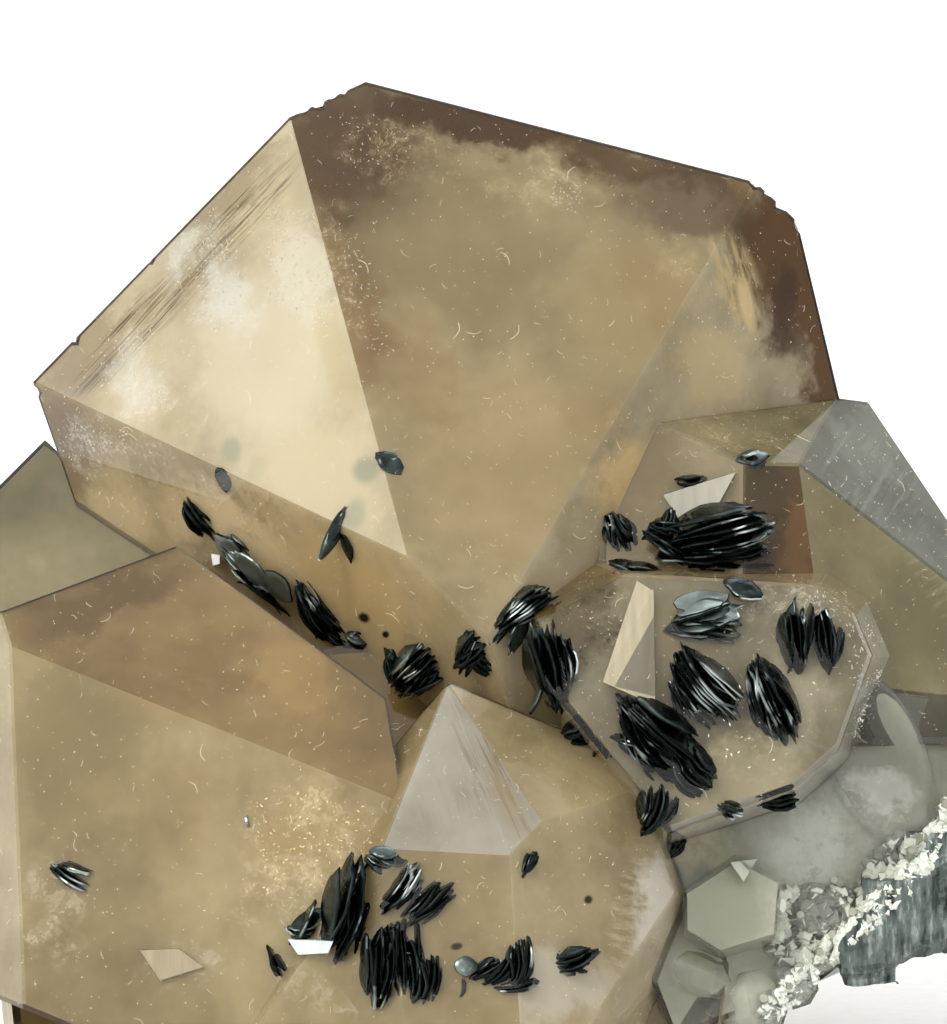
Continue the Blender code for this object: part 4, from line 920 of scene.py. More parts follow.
rosettes = {
    "upper_left_flake_inclusion": [stack(-14.97, 2.76, 3.12, 1.08, 62, 2, seat=1.6)],
    "centre_edge_inclusion": [stack(-4.95, 2.82, 2.16, 1.32, -35, 3, seat=1.3)],
    "blade_inclusion": [stack(-7.95, -1.08, 3.72, 0.96, 62, 2, seat=1.2)],
    "left_lens_rosette": [stack(-16.41, -0.42, 3.48, 1.2, -45, 3)],
    "left_grey_plate_cluster": [
        stack(-14.01, -2.4, 3, 2.04, -35, 3, turn=40),
        stack(-12.33, -3.84, 3.72, 1.56, -32, 3, turn=50),
    ],
    "left_blade_rosette": [stack(-9.15, -6.12, 5.04, 2.04, -52, 4)],
    "left_end_flake": [stack(-6.87, -7.62, 1.62, 1.2, -15, 2)],
    "middle_curved_rosette": [stack(-2.97, -9.3, 4.68, 3, 40, 5, fan=24)],
    "middle_needle_rosette": [
        stack(0.03, -8.28, 2.88, 2.16, 60, 3, turn=30),
        stack(2.61, -6, 4.68, 1.92, 33, 4),
    ],
    "middle_upright_rosette": [stack(4.59, -9.3, 5.16, 2.88, 97, 5)],
    "middle_small_rosette": [
        stack(6.21, -13.5, 3, 1.8, 12, 3),
        stack(7.47, -15, 2.04, 1.2, 70, 2),
    ],
    "upper_round_rosette": [stack(8.7, -1.2, 2.64, 1.8, -62, 3)],
    "upper_large_fan": [
        stack(14.73, -1.74, 6.72, 4.32, 8, 6, fan=20),
        stack(11.4, -1.26, 2.4, 1.8, -20, 3),
    ],
    "upper_thin_blade": [stack(9.81, -3.42, 3.6, 0.78, -16, 2)],
    "upper_edge_flake": [stack(12.99, 1.8, 2.28, 0.84, 4, 2)],
    "upper_silver_flake": [stack(16.65, 3.12, 2.04, 1.2, 4, 2, turn=35)],
    "right_textured_flake": [stack(16.29, -4.68, 2.4, 1.44, -35, 2, turn=45)],
    "right_silver_rosette": [stack(13.95, -6.36, 4.44, 2.64, 12, 4, turn=45)],
    "right_diagonal_rosette": [stack(13.71, -10.38, 5.4, 3.12, -50, 5)],
    "right_upright_lens": [stack(17.91, -11.28, 5.16, 2.76, -68, 5)],
    "right_double_rosette": [
        stack(19.35, -7.44, 4.56, 2.16, 90, 4),
        stack(21.15, -7.98, 4.08, 1.56, 94, 3),
    ],
    "lower_right_large_fan": [
        stack(10.77, -13.44, 6.24, 3.6, -48, 5, fan=26),
        stack(12.87, -15.78, 3, 1.92, -48, 3, turn=40),
    ],
    "lower_right_fan": [stack(10.95, -17.88, 3.24, 2.28, 66, 4, fan=28)],
    "right_striped_flake": [stack(15.45, -17.82, 1.68, 1.08, -25, 2)],
    "right_long_flake": [stack(18.27, -17.22, 2.88, 1.08, 12, 2)],
    "lower_right_end_flake": [stack(12.15, -20.16, 2.04, 0.78, 50, 2)],
    "lower_plate_rosette": [stack(-9.75, -25.08, 3.12, 1.92, 16, 3, turn=40)],
    "lower_upright_blades": [stack(-7.71, -24, 6.36, 2.28, 74, 4)],
    "lower_grey_flake": [stack(-5.37, -20.82, 2.64, 1.2, -15, 2, turn=40)],
    "lower_diagonal_rosette": [
        stack(-3.99, -22.4, 2.88, 1.44, 52, 3),
        stack(-2.85, -23.4, 4.08, 1.44, 38, 3),
    ],
    "lower_stacked_rosette": [stack(-5.25, -27.18, 5.04, 3, 86, 5)],
    "lower_small_stack": [stack(-2.61, -28.14, 3, 1.32, 82, 2)],
    "lower_left_sliver": [stack(-11.79, -27.12, 2.28, 0.72, -55, 2)],
    "lower_grey_disc": [stack(-0.66, -27.42, 1.62, 0.72, 0, 2, turn=70, seat=0.4)],
    "lower_right_blades": [
        stack(0.93, -27.48, 2.52, 1.2, 30, 2),
        stack(2.79, -27.24, 3.24, 1.68, 80, 3),
    ],
    "lower_right_sliver": [stack(5.67, -26.82, 3.84, 1.08, 14, 2)],
    "lower_leaf_flake": [stack(3.09, -21.24, 2.64, 0.84, 52, 2, seat=0.5)],
    "left_face_rosette": [stack(-24.09, -21.72, 3.12, 1.44, -24, 3)],
    "left_face_speck": [stack(-13.59, -18.54, 1.08, 0.36, -72, 1)],
}

# Loose and odd plates that fill the stacks out.
morePlates = {
    "upper_left_flake_inclusion": [
        stack(-15.09, 2.04, 1.9, 0.48, 80, 1, lie=0.1, deep=0.85)],
    "centre_edge_inclusion": [
        stack(-4.89, 2.88, 2.5, 0.48, -42, 1, lie=0.08, deep=0.68)],
    "blade_inclusion": [
        stack(-8.25, -1.02, 4.9, 0.48, 64, 2, turn=80, seat=0.1, deep=0.3),
        stack(-7.59, -2.16, 2.3, 0.48, 82, 1, lie=0.08, deep=0.62)],
    "left_grey_plate_cluster": [
        stack(-14.13, -2.28, 3.2, 0.48, -40, 1, lie=-0.5, deep=0.85),
        stack(-12.81, -3.24, 4.2, 0.48, -28, 1, lie=-0.7, deep=0.62),
        stack(-11.37, -4.2, 3.0, 0.48, -30, 1, lie=-0.5, deep=0.78),
        stack(-12.57, -4.68, 4.8, 0.6, -32, 2, turn=12)],
    "left_blade_rosette": [
        stack(-9.69, -5.64, 3.84, 1.08, -62, 3, turn=30),
        stack(-8.43, -6.36, 3.6, 1.08, -55, 3, turn=40),
        stack(-7.95, -7.74, 2.52, 0.72, -28, 2)],
    "left_end_flake": [
        stack(-6.81, -7.56, 1.68, 0.36, -10, 1, turn=68, deep=0.8)],
    "middle_curved_rosette": [
        stack(-3.05, -8.9, 5.5, 2.2, 36, 5, fan=18),
        stack(-2.73, -10.08, 3.48, 0.96, 42, 3, fan=8),
        stack(-4.77, -9.6, 3.6, 0.48, -78, 2, turn=45),
        stack(-1.65, -8.1, 3.6, 1.9, 52, 4)],
    "middle_needle_rosette": [
        stack(-0.15, -8.1, 3.9, 1.8, 48, 4),
        stack(1.11, -6.96, 5.28, 1.32, 37, 4, fan=6),
        stack(3.09, -5.52, 3.72, 1.44, 30, 4),
        stack(0.45, -8.94, 2.4, 1.08, -48, 3, turn=40),
        stack(2.31, -7.32, 2.8, 0.48, 48, 1, lie=-0.6, deep=0.5)],
    "upper_round_rosette": [
        stack(8.79, -1.38, 2.88, 1.56, -66, 4)],
    "upper_large_fan": [
        stack(15.09, -1.08, 6.24, 0.6, 6, 2, fan=4),
        stack(15.27, -2.16, 6, 0.6, 3, 2, fan=4),
        stack(14.49, -3.3, 4.32, 0.84, 8, 3),
        stack(11.67, -1.98, 3.72, 0.96, -35, 3),
        stack(11.61, -0.6, 1.92, 0.96, 62, 2, turn=50)],
    "right_textured_flake": [
        stack(16.29, -4.68, 2.52, 0.36, -32, 1, lie=-0.05, deep=0.6)],
    "right_silver_rosette": [
        stack(13.71, -5.64, 3.84, 0.48, 8, 1, lie=-0.6, deep=0.42),
        stack(14.31, -6.84, 3.84, 1.2, -14, 3)],
    "right_diagonal_rosette": [
        stack(12.51, -11.28, 3.12, 1.44, -62, 3, turn=30),
        stack(14.07, -10.32, 5.28, 1.2, -50, 3, fan=6)],
    "right_upright_lens": [
        stack(17.61, -11.04, 4.8, 1.32, -72, 4, fan=8)],
    "lower_right_large_fan": [
        stack(9.51, -13.92, 3.12, 1.2, -22, 3),
        stack(13.47, -14.88, 3.6, 1.32, -60, 3, turn=50),
        stack(10.89, -12.96, 5.76, 1.2, -44, 3, fan=8)],
    "lower_plate_rosette": [
        stack(-9.5, -24.9, 3.8, 0.48, 16, 1, lie=-0.7, deep=0.78),
        stack(-8.55, -23.58, 2.64, 0.6, 74, 2)],
    "lower_upright_blades": [
        stack(-6.81, -24.78, 3.96, 2.16, 80, 5),
        stack(-7.35, -22.44, 3.72, 0.72, 68, 2)],
    "lower_diagonal_rosette": [
        stack(-4.35, -22.68, 3.48, 1.2, 50, 4),
        stack(-2.61, -23.52, 4.08, 1.32, 40, 4)],
    "lower_stacked_rosette": [
        stack(-5.85, -27.84, 3.72, 1.8, 84, 4),
        stack(-4.11, -27.24, 5.04, 1.92, 88, 5),
        stack(-5.13, -26.28, 3.6, 1.2, 70, 3, turn=40)],
    "lower_small_stack": [
        stack(-3.33, -28.14, 2.88, 1.08, 86, 3)],
    "lower_grey_disc": [
        stack(-0.39, -27.3, 1.75, 0.48, 0, 1, lie=-0.3, deep=0.95),
        stack(-0.63, -28.68, 1.2, 0.24, 80, 1)],
    "lower_right_blades": [
        stack(1.59, -27.72, 2.52, 0.96, 40, 3),
        stack(2.49, -28.38, 2.88, 0.6, 4, 2),
        stack(2.55, -26.58, 2.76, 0.48, 80, 2, turn=62, deep=0.45)],
    "lower_right_sliver": [
        stack(5.31, -27.36, 3, 0.48, -8, 2)],
    "lower_leaf_flake": [
        stack(3.03, -21.3, 2.4, 0.36, 62, 1, turn=60, deep=0.4)],
}
# How far apart the plates of a stack are and how thick one is, in millimetres, how many sides it
# has, and the rings of its face, each with how far out it runs and its share of the thickness. Then
# how much of a stack's fan its plates show, and the shares of its plates and of those that cross
# them that have a silvery face.
hematite = {
    "spacing": 0.36, "thick": 0.13, "sides": 22, "rings": ((1.0, 0.25), (0.955, 1.0), (0.5, 1.0)),
    "splay": 0.6, "brightShare": 0.04, "crossBright": 0.3, "seed": 23,
}
# Rosettes whose flat faces are dull, those whose flat faces are silvery, and those that show only
# plates lying flat.
dull = ("left_grey_plate_cluster",)
silvery = ("right_silver_rosette", "upper_silver_flake", "lower_grey_disc")
sealed = ("upper_left_flake_inclusion", "centre_edge_inclusion", "blade_inclusion",
          "right_textured_flake", "lower_grey_disc")


# Hematite: smooth dark metal that mirrors its surroundings softly, with small growth steps.
def metalPlates(name, dark, light, roughness, grainSize, bumpDepth, low=0.35, high=0.65):
    item, tree, shader, coords = newMaterial(name)
    cast = addNode(tree, "ShaderNodeTexNoise", {"Scale": scaleOf(grainSize), "Detail": 3.0},
                   {"Vector": coords})
    color = addNode(tree, "ShaderNodeValToRGB", links={"Fac": cast.outputs["Fac"]},
                    stops=[(low, toLinear(dark)), (high, toLinear(light))])
    tree.links.new(color.outputs["Color"], shader.inputs["Base Color"])
    rough = addNode(tree, "ShaderNodeMapRange", {"To Min": roughness * 0.6, "To Max": roughness * 1.5},
                    {"Value": cast.outputs["Fac"]})
    tree.links.new(rough.outputs["Result"], shader.inputs["Roughness"])
    steps = addNode(tree, "ShaderNodeTexNoise", {"Scale": scaleOf(grainSize / 3), "Detail": 2.0},
                    {"Vector": coords})
    bump = addNode(tree, "ShaderNodeBump", {"Strength": 0.4, "Distance": bumpDepth * mm},
                   {"Height": steps.outputs["Fac"]})
    tree.links.new(bump.outputs["Normal"], shader.inputs["Normal"])
    shader.inputs["Metallic"].default_value = 1.0
    return item


# The rim material is the same hematite painted pale in patches along the plate edges, a painted highlight
# that draws thin bright lines on the rims.
plateMaterials = [
    metalPlates("hematite, natural black metallic plates", "#222928", "#46514E", 0.24, 1.4286, 0.08),
    metalPlates("hematite, plate rims with painted highlights", "#1E2524", "#C6D3D1", 0.27, 3.0303, 0.03, 0.56, 0.66),
    metalPlates("hematite, silvery flat faces", "#3A4241", "#86928F", 0.3, 2.0, 0.06),
    metalPlates("hematite, dull grey flat faces", "#66706D", "#919B97", 0.5, 2.381, 0.08),
]
blackSlot, paintedHighlightRimSlot, silverSlot, greySlot = range(len(plateMaterials))


# Directions along a stack and across it in the picture plane.
def stackAxes(fan):
    angle = math.radians(fan["angle"])
    return right * math.cos(angle) + up * math.sin(angle), up * math.cos(angle) - right * math.sin(angle)


# Where a plate lies that is flat under a face.
def lyingFrame(fan, hit, normal):
    if normal.dot(away) > 0:
        normal = -normal
    along = stackAxes(fan)[0]
    along = (along - normal * along.dot(normal)).normalized()
    turned = Matrix((along, normal.cross(along), normal)).transposed().to_4x4()
    turned.translation = hit - normal * fan["lie"] * mm
    return turned


# Where a stack stands that juts out.
def plateFrame(fan, middle):
    along, across = stackAxes(fan)
    across = Matrix.Rotation(math.radians(fan["turn"]), 3, along) @ across
    turned = Matrix((along, across.cross(along), across)).transposed().to_4x4()
    turned.translation = middle
    return turned


# One plate with a ragged outline, a bend, a ripple and a twist.
def addPlate(bm, turned, size, deep, thick, bend, rng, slot):
    sides = hematite["sides"]
    turns = [2 * math.pi * n / sides for n in range(sides)]
    ragged = rng.uniform(0.05, 0.16)
    jut = []
    for turn in turns:
        tip = abs(math.cos(turn)) ** 3
        jut.append(1 + rng.uniform(-ragged, ragged * 0.4) * (0.4 + 1.3 * tip))
    phase = rng.uniform(0, 6.28)
    twist = rng.uniform(-0.12, 0.12)
    layers = []
    for side in (1, -1):
        rings = []
        for reach, full in hematite["rings"]:
            ring = []
            for turn, out in zip(turns, jut):
                x = size * reach * out * math.cos(turn)
                y = deep * reach * out * math.sin(turn) * (1 - 0.25 * abs(math.cos(turn)))
                lift = bend * (x / size) ** 2 * size + 0.12 * thick * math.sin(7 * x / size + phase)
                lift += twist * y * x / size
                ring.append(bm.verts.new(turned @ Vector((x, y, lift + side * thick * full / 2))))
            rings.append(ring)
        hub = bm.verts.new(turned @ Vector((0, 0, side * thick / 2)))
        layers.append((rings, hub))
    pairs = [(n, (n + 1) % sides) for n in range(sides)]
    faces = []
    # The outer ring and the edge wall take the rim material with its painted highlight.
    for (rings, hub), order in zip(layers, (1, -1)):
        for a, b in zip(rings, rings[1:]):
            own = paintedHighlightRimSlot if a is rings[0] else slot
            faces += [([a[n], a[m], b[m], b[n]][::order], own) for n, m in pairs]
        faces += [([rings[-1][n], rings[-1][m], hub][::order], slot) for n, m in pairs]
    top, low = layers[0][0][0], layers[1][0][0]
    faces += [([low[n], low[m], top[m], top[n]], paintedHighlightRimSlot) for n, m in pairs]
    for corners, own in faces:
        made = bm.faces.new(corners)
        made.material_index = own
        made.smooth = own == slot


# All stacks of one rosette: the plates of each stack and a few short ones that cross them.
def rosette(name, fans, rng):
    bm = bmesh.new()
    extra = morePlates.get(name, [])
    thick = hematite["thick"] * mm
    for n, fan in enumerate((fans if name not in sealed else []) + extra):
        sight = (place((fan["right"], fan["up"], 0.0)) - eye * mm).normalized()
        hit, normal = surface.ray_cast(eye * mm, sight)[:2]
        if n == 0:
            reached = (hit - eye * mm).dot(away) + fan["seat"] * mm
        here = reached + (rng.uniform(-0.3, 0.1) * mm if fan in extra else 0)
        turned = plateFrame(fan, eye * mm + sight * (here / sight.dot(away)))
        if fan["lie"] is not None:
            turned = lyingFrame(fan, hit, normal)
        half = fan["length"] * mm / 2
        stackHeight = fan["height"] * mm
        count = max(2, round(fan["height"] / hematite["spacing"]) + 1) if fan["plates"] > 1 else 1
        splay = math.radians(fan["fan"] * hematite["splay"])
        swell = rng.uniform(0.0, 0.2)
        common = rng.uniform(-0.14, 0.14)
        for p in range(count):
            s = (p - (count - 1) / 2) / max(0.5, (count - 1) / 2)
            s += rng.uniform(-0.35, 0.35) / count
            size = half * (1 - 0.25 * s * s) * rng.uniform(0.78, 1.08)
            tip = Matrix.Rotation(-splay * s + rng.gauss(0, 0.07), 4, "Y") @ Matrix.Rotation(
                rng.gauss(0, 0.16), 4, "X")
            aside = rng.uniform(-0.16, 0.16) * half
            lift = Matrix.Translation((aside, 0, s * (stackHeight - thick) / 2 * 0.9))
            bright = name in silvery + dull and fan["turn"] > 15
            bright = bright or (rng.random() < hematite["brightShare"] and count > 1)
            slot = blackSlot if not bright else greySlot if name in dull else silverSlot
            addPlate(bm, turned @ lift @ tip, size, size * fan["deep"] * rng.uniform(0.75, 1.15),
                     thick * rng.uniform(0.7, 1.5), common - s * swell + rng.uniform(-0.07, 0.07), rng, slot)
        for p in range(count // 2 if fan["turn"] < 45 and fan["lie"] is None else 0):
            tip = Matrix.Rotation(rng.uniform(-0.7, 0.7), 4, "Y") @ Matrix.Rotation(rng.gauss(0, 0.3), 4, "X")
            aside = rng.uniform(-0.7, 0.7) * half
            lift = Matrix.Translation((aside, 0, rng.uniform(-0.35, 0.35) * stackHeight))
            size = half * rng.uniform(0.22, 0.45)
            thin = thick * rng.uniform(0.7, 1.3)
            bend = rng.uniform(-0.2, 0.2)
            slot = silverSlot if rng.random() < hematite["crossBright"] else blackSlot
            addPlate(bm, turned @ lift @ tip, size, size * 0.6, thin, bend, rng, slot)
    bmesh.ops.recalc_face_normals(bm, faces=bm.faces[:])
    return newObject("hematite_plates_" + name, bm, plateMaterials)


rng = random.Random(hematite["seed"])
hematitePieces = {"hematite_" + name: rosette(name, fans, rng) for name, fans in rosettes.items()}

print("stage: dark rock")
# Dark rock at the right, cut like the crystals.
darkRock = {
    "heart": (28.59, -22.68, 4),
    "faces": {
        "front": ((24.39, -23.28, -6.5), (31.59, -20.28, 0), (25.59, -26.88, -5.5)),
        "top left": ((21.87, -25.68, -7), (25.89, -21.36, -5), (23.79, -23.58, 10)),
        "top": ((25.89, -21.36, -5), (33.99, -16.68, 3), (30.39, -18.48, 14)),
        "right": ((34.95, -17.28, 6), (34.71, -22.68, 6), (34.83, -19.68, 16)),
        "left": ((21.87, -25.68, -7), (22.11, -27.84, -5), (22.35, -26.88, 10)),
        "under": ((22.11, -27.84, -5), (25.11, -27.72, -5), (23.79, -27.96, 10)),
        "under right": ((25.11, -27.72, -5), (28.41, -25.68, -2), (26.79, -26.58, 12)),
        "under far": ((28.41, -25.68, -2), (34.59, -22.68, 6), (31.59, -24.18, 16)),
        "back": ((24.39, -23.28, 12), (31.59, -20.28, 14), (25.59, -26.88, 10)),
    },
}
# Lumps of the dark rock: right, up, away and size.
rockLumps = (
    (23.67, -26.16, -3.5, 3.2), (25.89, -24.18, -3, 4.2), (27.99, -22.08, -2, 4.8),
    (31.59, -20.76, 1.5, 5.2), (29.19, -23.28, 4, 5.5),
)
# How fine its surface is, how far that is moved, the size of its breaks, the length, width and depth
# of its streaks and how high they stand, in millimetres, and how the streaks are turned.
rock = {
    "fine": 0.32, "rough": 0.22, "breaks": 2.0, "seed": 3, "streak": (0.45455, 3.846, 2.0),
    "turned": (0.3, 0.5, -0.9), "bump": 0.25,
    "colors": ((0.3, "#2A302E"), (0.55, "#6A7571"), (0.8, "#C8D1CE")),
}


# Dark metallic rock: streaky broken faces, some of which catch the light.
def rockMaterial():
    item, tree, shader, coords = newMaterial("metallic matrix rock, streaked and broken")
    turned = addNode(tree, "ShaderNodeMapping", {
        "Rotation": rock["turned"], "Scale": [scaleOf(size) for size in rock["streak"]]}, {"Vector": coords})
    streak = addNode(tree, "ShaderNodeTexNoise", {"Scale": 1.0, "Detail": 5.0, "Roughness": 0.6},
                     {"Vector": turned.outputs["Vector"]})
    color = addNode(tree, "ShaderNodeValToRGB", links={"Fac": streak.outputs["Fac"]},
                    stops=[(spot, toLinear(shade)) for spot, shade in rock["colors"]])
    tree.links.new(color.outputs["Color"], shader.inputs["Base Color"])
    bump = addNode(tree, "ShaderNodeBump", {"Strength": 0.6, "Distance": rock["bump"] * mm},
                   {"Height": streak.outputs["Fac"]})
    tree.links.new(bump.outputs["Normal"], shader.inputs["Normal"])
    shader.inputs["Metallic"].default_value = 0.7
    shader.inputs["Roughness"].default_value = 0.38
    return item


rockBlocks = [cutBlock(**darkRock)]
for x, y, depth, size in rockLumps:
    rockBlocks.append(lump(place((x, y, depth)), size, random.Random(rockDraws.random())))
for bm in rockBlocks:
    for face in bm.faces:
        face.material_index = 0
rockPiece = unite("streaked_matrix_rock", rockBlocks, [rockMaterial()])
change = rockPiece.modifiers.new("remesh", "REMESH")
change.mode = "VOXEL"
change.voxel_size = rock["fine"] * mm
mesh = bake(rockPiece)
for v in mesh.vertices:
    spot = v.co * scaleOf(rock["breaks"]) + Vector((rock["seed"], 0, 0))
    step = noise.fractal(spot, 0.9, 2.1, 4) + 0.6 * noise.cell(spot * 0.8) - 0.5
    v.co += v.normal * rock["rough"] * mm * step
rockPiece.data = mesh

print("stage: small bright faces")
# Small flat faces that shine pale: outline as right and up, their colour and how far they stand out
# of the face, in millimetres. The pale colour of upper, narrow, bulb and triangle is partly a painted
# reflection of the studio light in small facets, and left glint is a painted glint.
paleFaces = {
    "upper": (((11.37, 1.02), (15.75, 2.4), (14.31, -0.24), (12.51, -0.66)), "#7F7D6E", 0.12),
    "narrow": (((9.8, -4.1), (10.8, -4.75), (10.9, -11.6), (7.75, -10.2)), "#978E76", 0.12),
    # bulb: pale facet under the black bulb, a painted reflection
    "bulb": (((-11.1, -25.6), (-8.4, -25.7), (-8.7, -26.4), (-10.5, -26.5)), "#B8C2C2", 1.2),
    # left glint: a near-white chip, a painted glint
    "left glint": (((-15.7, -2.5), (-15.2, -2.6), (-15.2, -3.1), (-15.6, -3.2)), "#F2F4F2", 1.2),
    "low flake": (((-20.0, -26.3), (-17.7, -26.2), (-16.2, -27.3), (-18.8, -28.1), (-19.4, -27.2)),
                  "#85795E", 0.12),
    "triangle": (((15.39, -21.0), (17.01, -20.76), (16.17, -22.14)), "#B4B7AA", 0.9),
}
# How far such a face reaches in, the three sizes of its growth lines and how they are turned.
pale = {"sink": 0.3, "lines": (0.3846, 2.0, 6.25), "turned": (0, 0.35, 0)}


# A pale face, its paleness partly painted light as listed above: smooth, with fine growth lines
# painted into its colour as a satin sheen.
def slab(name, outline, color, forward):
    item, tree, shader, coords = newMaterial("quartz, pale " + name + " face with fine growth lines")
    turned = addNode(tree, "ShaderNodeMapping", {
        "Rotation": pale["turned"], "Scale": [scaleOf(size) for size in pale["lines"]]}, {"Vector": coords})
    lines = addNode(tree, "ShaderNodeTexNoise", {"Scale": 1.0, "Detail": 4.0},
                    {"Vector": turned.outputs["Vector"]})
    tint = addNode(tree, "ShaderNodeValToRGB", links={"Fac": lines.outputs["Fac"]},
                   stops=[(0.3, brighter(color, 0.88)), (0.7, brighter(color, 1.12))])
    tree.links.new(tint.outputs["Color"], shader.inputs["Base Color"])
    shader.inputs["Roughness"].default_value = 0.35
    bm = bmesh.new()
    front = [bm.verts.new(onFace(x, y, -forward)) for x, y in outline]
    rear = [bm.verts.new(onFace(x, y, pale["sink"])) for x, y in outline]
    bm.faces.new(front)
    bm.faces.new(rear[::-1])
    for n in range(len(front)):
        m = (n + 1) % len(front)
        bm.faces.new((front[m], front[n], rear[n], rear[m]))
    bmesh.ops.triangulate(bm, faces=bm.faces[:])
    bmesh.ops.recalc_face_normals(bm, faces=bm.faces[:])
    return newObject("face " + name, bm, [item])


palePieces = [slab(name, *said) for name, said in paleFaces.items()]

print("stage: lint, dust and glitter")


# A tree that scatters small copies of a piece over a mesh, each turned and sized by chance.
def scatterTree(name, material):
    tree = bpy.data.node_groups.new(name, "GeometryNodeTree")
    tree.interface.new_socket("Geometry", in_out="INPUT", socket_type="NodeSocketGeometry")
    for label, kind, value in (("Piece", "Object", None), ("Per Square Metre", "Float", 1e5),
                               ("Smallest", "Float", 0.5), ("Largest", "Float", 1.5),
                               ("Tilt", "Float", 0.4), ("Seed", "Int", 1)):
        socket = tree.interface.new_socket(label, in_out="INPUT", socket_type="NodeSocket" + kind)
        if value is not None:
            socket.default_value = value
    tree.interface.new_socket("Geometry", in_out="OUTPUT", socket_type="NodeSocketGeometry")
    asked = addNode(tree, "NodeGroupInput").outputs
    points = addNode(tree, "GeometryNodeDistributePointsOnFaces", links={
        "Mesh": asked["Geometry"], "Density": asked["Per Square Metre"], "Seed": asked["Seed"]})
    least = addNode(tree, "ShaderNodeMath", {1: -1.0}, {0: asked["Tilt"]}, operation="MULTIPLY")
    low = addNode(tree, "ShaderNodeCombineXYZ", {"Z": -math.pi},
                  {"X": least.outputs[0], "Y": least.outputs[0]})
    high = addNode(tree, "ShaderNodeCombineXYZ", {"Z": math.pi}, {"X": asked["Tilt"], "Y": asked["Tilt"]})
    lean = addNode(tree, "FunctionNodeRandomValue", data_type="FLOAT_VECTOR", links={
        0: low.outputs[0], 1: high.outputs[0], "Seed": asked["Seed"]})
    size = addNode(tree, "FunctionNodeRandomValue", data_type="FLOAT", links={
        2: asked["Smallest"], 3: asked["Largest"], "Seed": asked["Seed"]})
    turned = addNode(tree, "FunctionNodeRotateRotation", rotation_space="LOCAL", links={
        "Rotation": points.outputs["Rotation"], "Rotate By": lean.outputs["Value"]})
    info = addNode(tree, "GeometryNodeObjectInfo", links={"Object": asked["Piece"]})
    placed = addNode(tree, "GeometryNodeInstanceOnPoints", links={
        "Points": points.outputs["Points"], "Instance": info.outputs["Geometry"],
        "Rotation": turned.outputs[0], "Scale": size.outputs[1]})
    real = addNode(tree, "GeometryNodeRealizeInstances", links={"Geometry": placed.outputs[0]})
    painted = addNode(tree, "GeometryNodeSetMaterial", {"Material": material}, {"Geometry": real.outputs[0]})
    addNode(tree, "NodeGroupOutput", links={0: painted.outputs[0]})
    return tree


def scatter(name, bed, piece, material, perSquare, smallest, largest, lean, seed):
    tree = scatterTree(name, material)
    change = bed.modifiers.new("scatter", "NODES")
    change.node_group = tree
    given = {"Piece": piece, "Per Square Metre": perSquare, "Smallest": smallest, "Largest": largest,
             "Tilt": lean, "Seed": seed}
    for item in tree.interface.items_tree:
        if item.in_out == "INPUT" and item.name in given:
            change[item.identifier] = given[item.name]
    mesh = bake(bed)
    mesh.name = name
    made = bpy.data.objects.new(name, mesh)
    home.objects.link(made)
    return made


# A lint fibre: a thin round thread that bends a little more at each step.
def fibre(length, thick, curl, rng):
    steps = 8
    curve = bpy.data.curves.new("fibre", "CURVE")
    curve.dimensions = "3D"
    curve.bevel_depth = thick / 2 * mm
    curve.bevel_resolution = 0
    curve.use_fill_caps = True
    line = curve.splines.new("POLY")
    line.points.add(steps)
    heading = 0.0
    spot = Vector((-length / 2, 0, 0.03))
    for point in line.points:
        point.co = (*(spot * mm), 1)
        heading += rng.uniform(-curl, curl) + curl * 0.4
        step = Vector((math.cos(heading), math.sin(heading), rng.uniform(-0.12, 0.16)))
        spot = spot + step * length / steps
    item = bpy.data.objects.new("fibre", curve)
    home.objects.link(item)
    bm = bmesh.new()
    bm.from_mesh(bpy.data.meshes.new_from_object(item))
    bpy.data.objects.remove(item, do_unlink=True)
    bmesh.ops.remove_doubles(bm, verts=bm.verts[:], dist=near["cut"])
    return newObject("fibre", bm)


def meshOf(item):
    bm = bmesh.new()
    bm.from_mesh(item.data)
    return bm


def flake(size, thick):
    bm = bmesh.new()
    bmesh.ops.create_cone(bm, cap_ends=True, segments=5, radius1=size * mm, radius2=size * 0.8 * mm,
                          depth=thick * mm)
    bmesh.ops.scale(bm, vec=(1.8, 0.6, 1.0), verts=bm.verts[:])
    return newObject("flake", bm)


def grainOf(size):
    bm = bmesh.new()
    bmesh.ops.create_icosphere(bm, subdivisions=1, radius=size * mm)
    return newObject("grain", bm)


# Small loose or broken bits: dull, or with a soft shine that makes them glitter.
def shine(name, color, roughness, grainSize, spread=1.15):
    item, tree, shader, coords = newMaterial(name)
    vary = addNode(tree, "ShaderNodeTexNoise", {"Scale": scaleOf(grainSize)}, {"Vector": coords})
    tint = addNode(tree, "ShaderNodeValToRGB", links={"Fac": vary.outputs["Fac"]},
                   stops=[(0.35, toLinear(color)), (0.65, brighter(color, spread))])
    tree.links.new(tint.outputs["Color"], shader.inputs["Base Color"])
    shader.inputs["Roughness"].default_value = roughness
    return item


# How squarely a face looks at the viewer, and how far back it may lie, to get dust.
dusty = {"facing": 0.25, "farthest": 14.0}


# The natural faces of an object that look at the viewer.
def frontFaces(item, name):
    bm = meshOf(item)
    hidden = [f for f in bm.faces if f.material_index or f.normal.dot(away) > -dusty["facing"]
              or f.calc_center_median().y > dusty["farthest"] * mm]
    bmesh.ops.delete(bm, geom=hidden, context="FACES")
    bmesh.ops.delete(bm, geom=[v for v in bm.verts if not v.link_faces], context="VERTS")
    return newObject(name, bm)


# Where the photograph shows a point: right and up, in millimetres.
def pictureOf(spot):
    local = spot / mm - middle
    spread = (view["distance"] + local.dot(away)) / view["distance"]
    return local.dot(right) / spread, local.dot(up) / spread


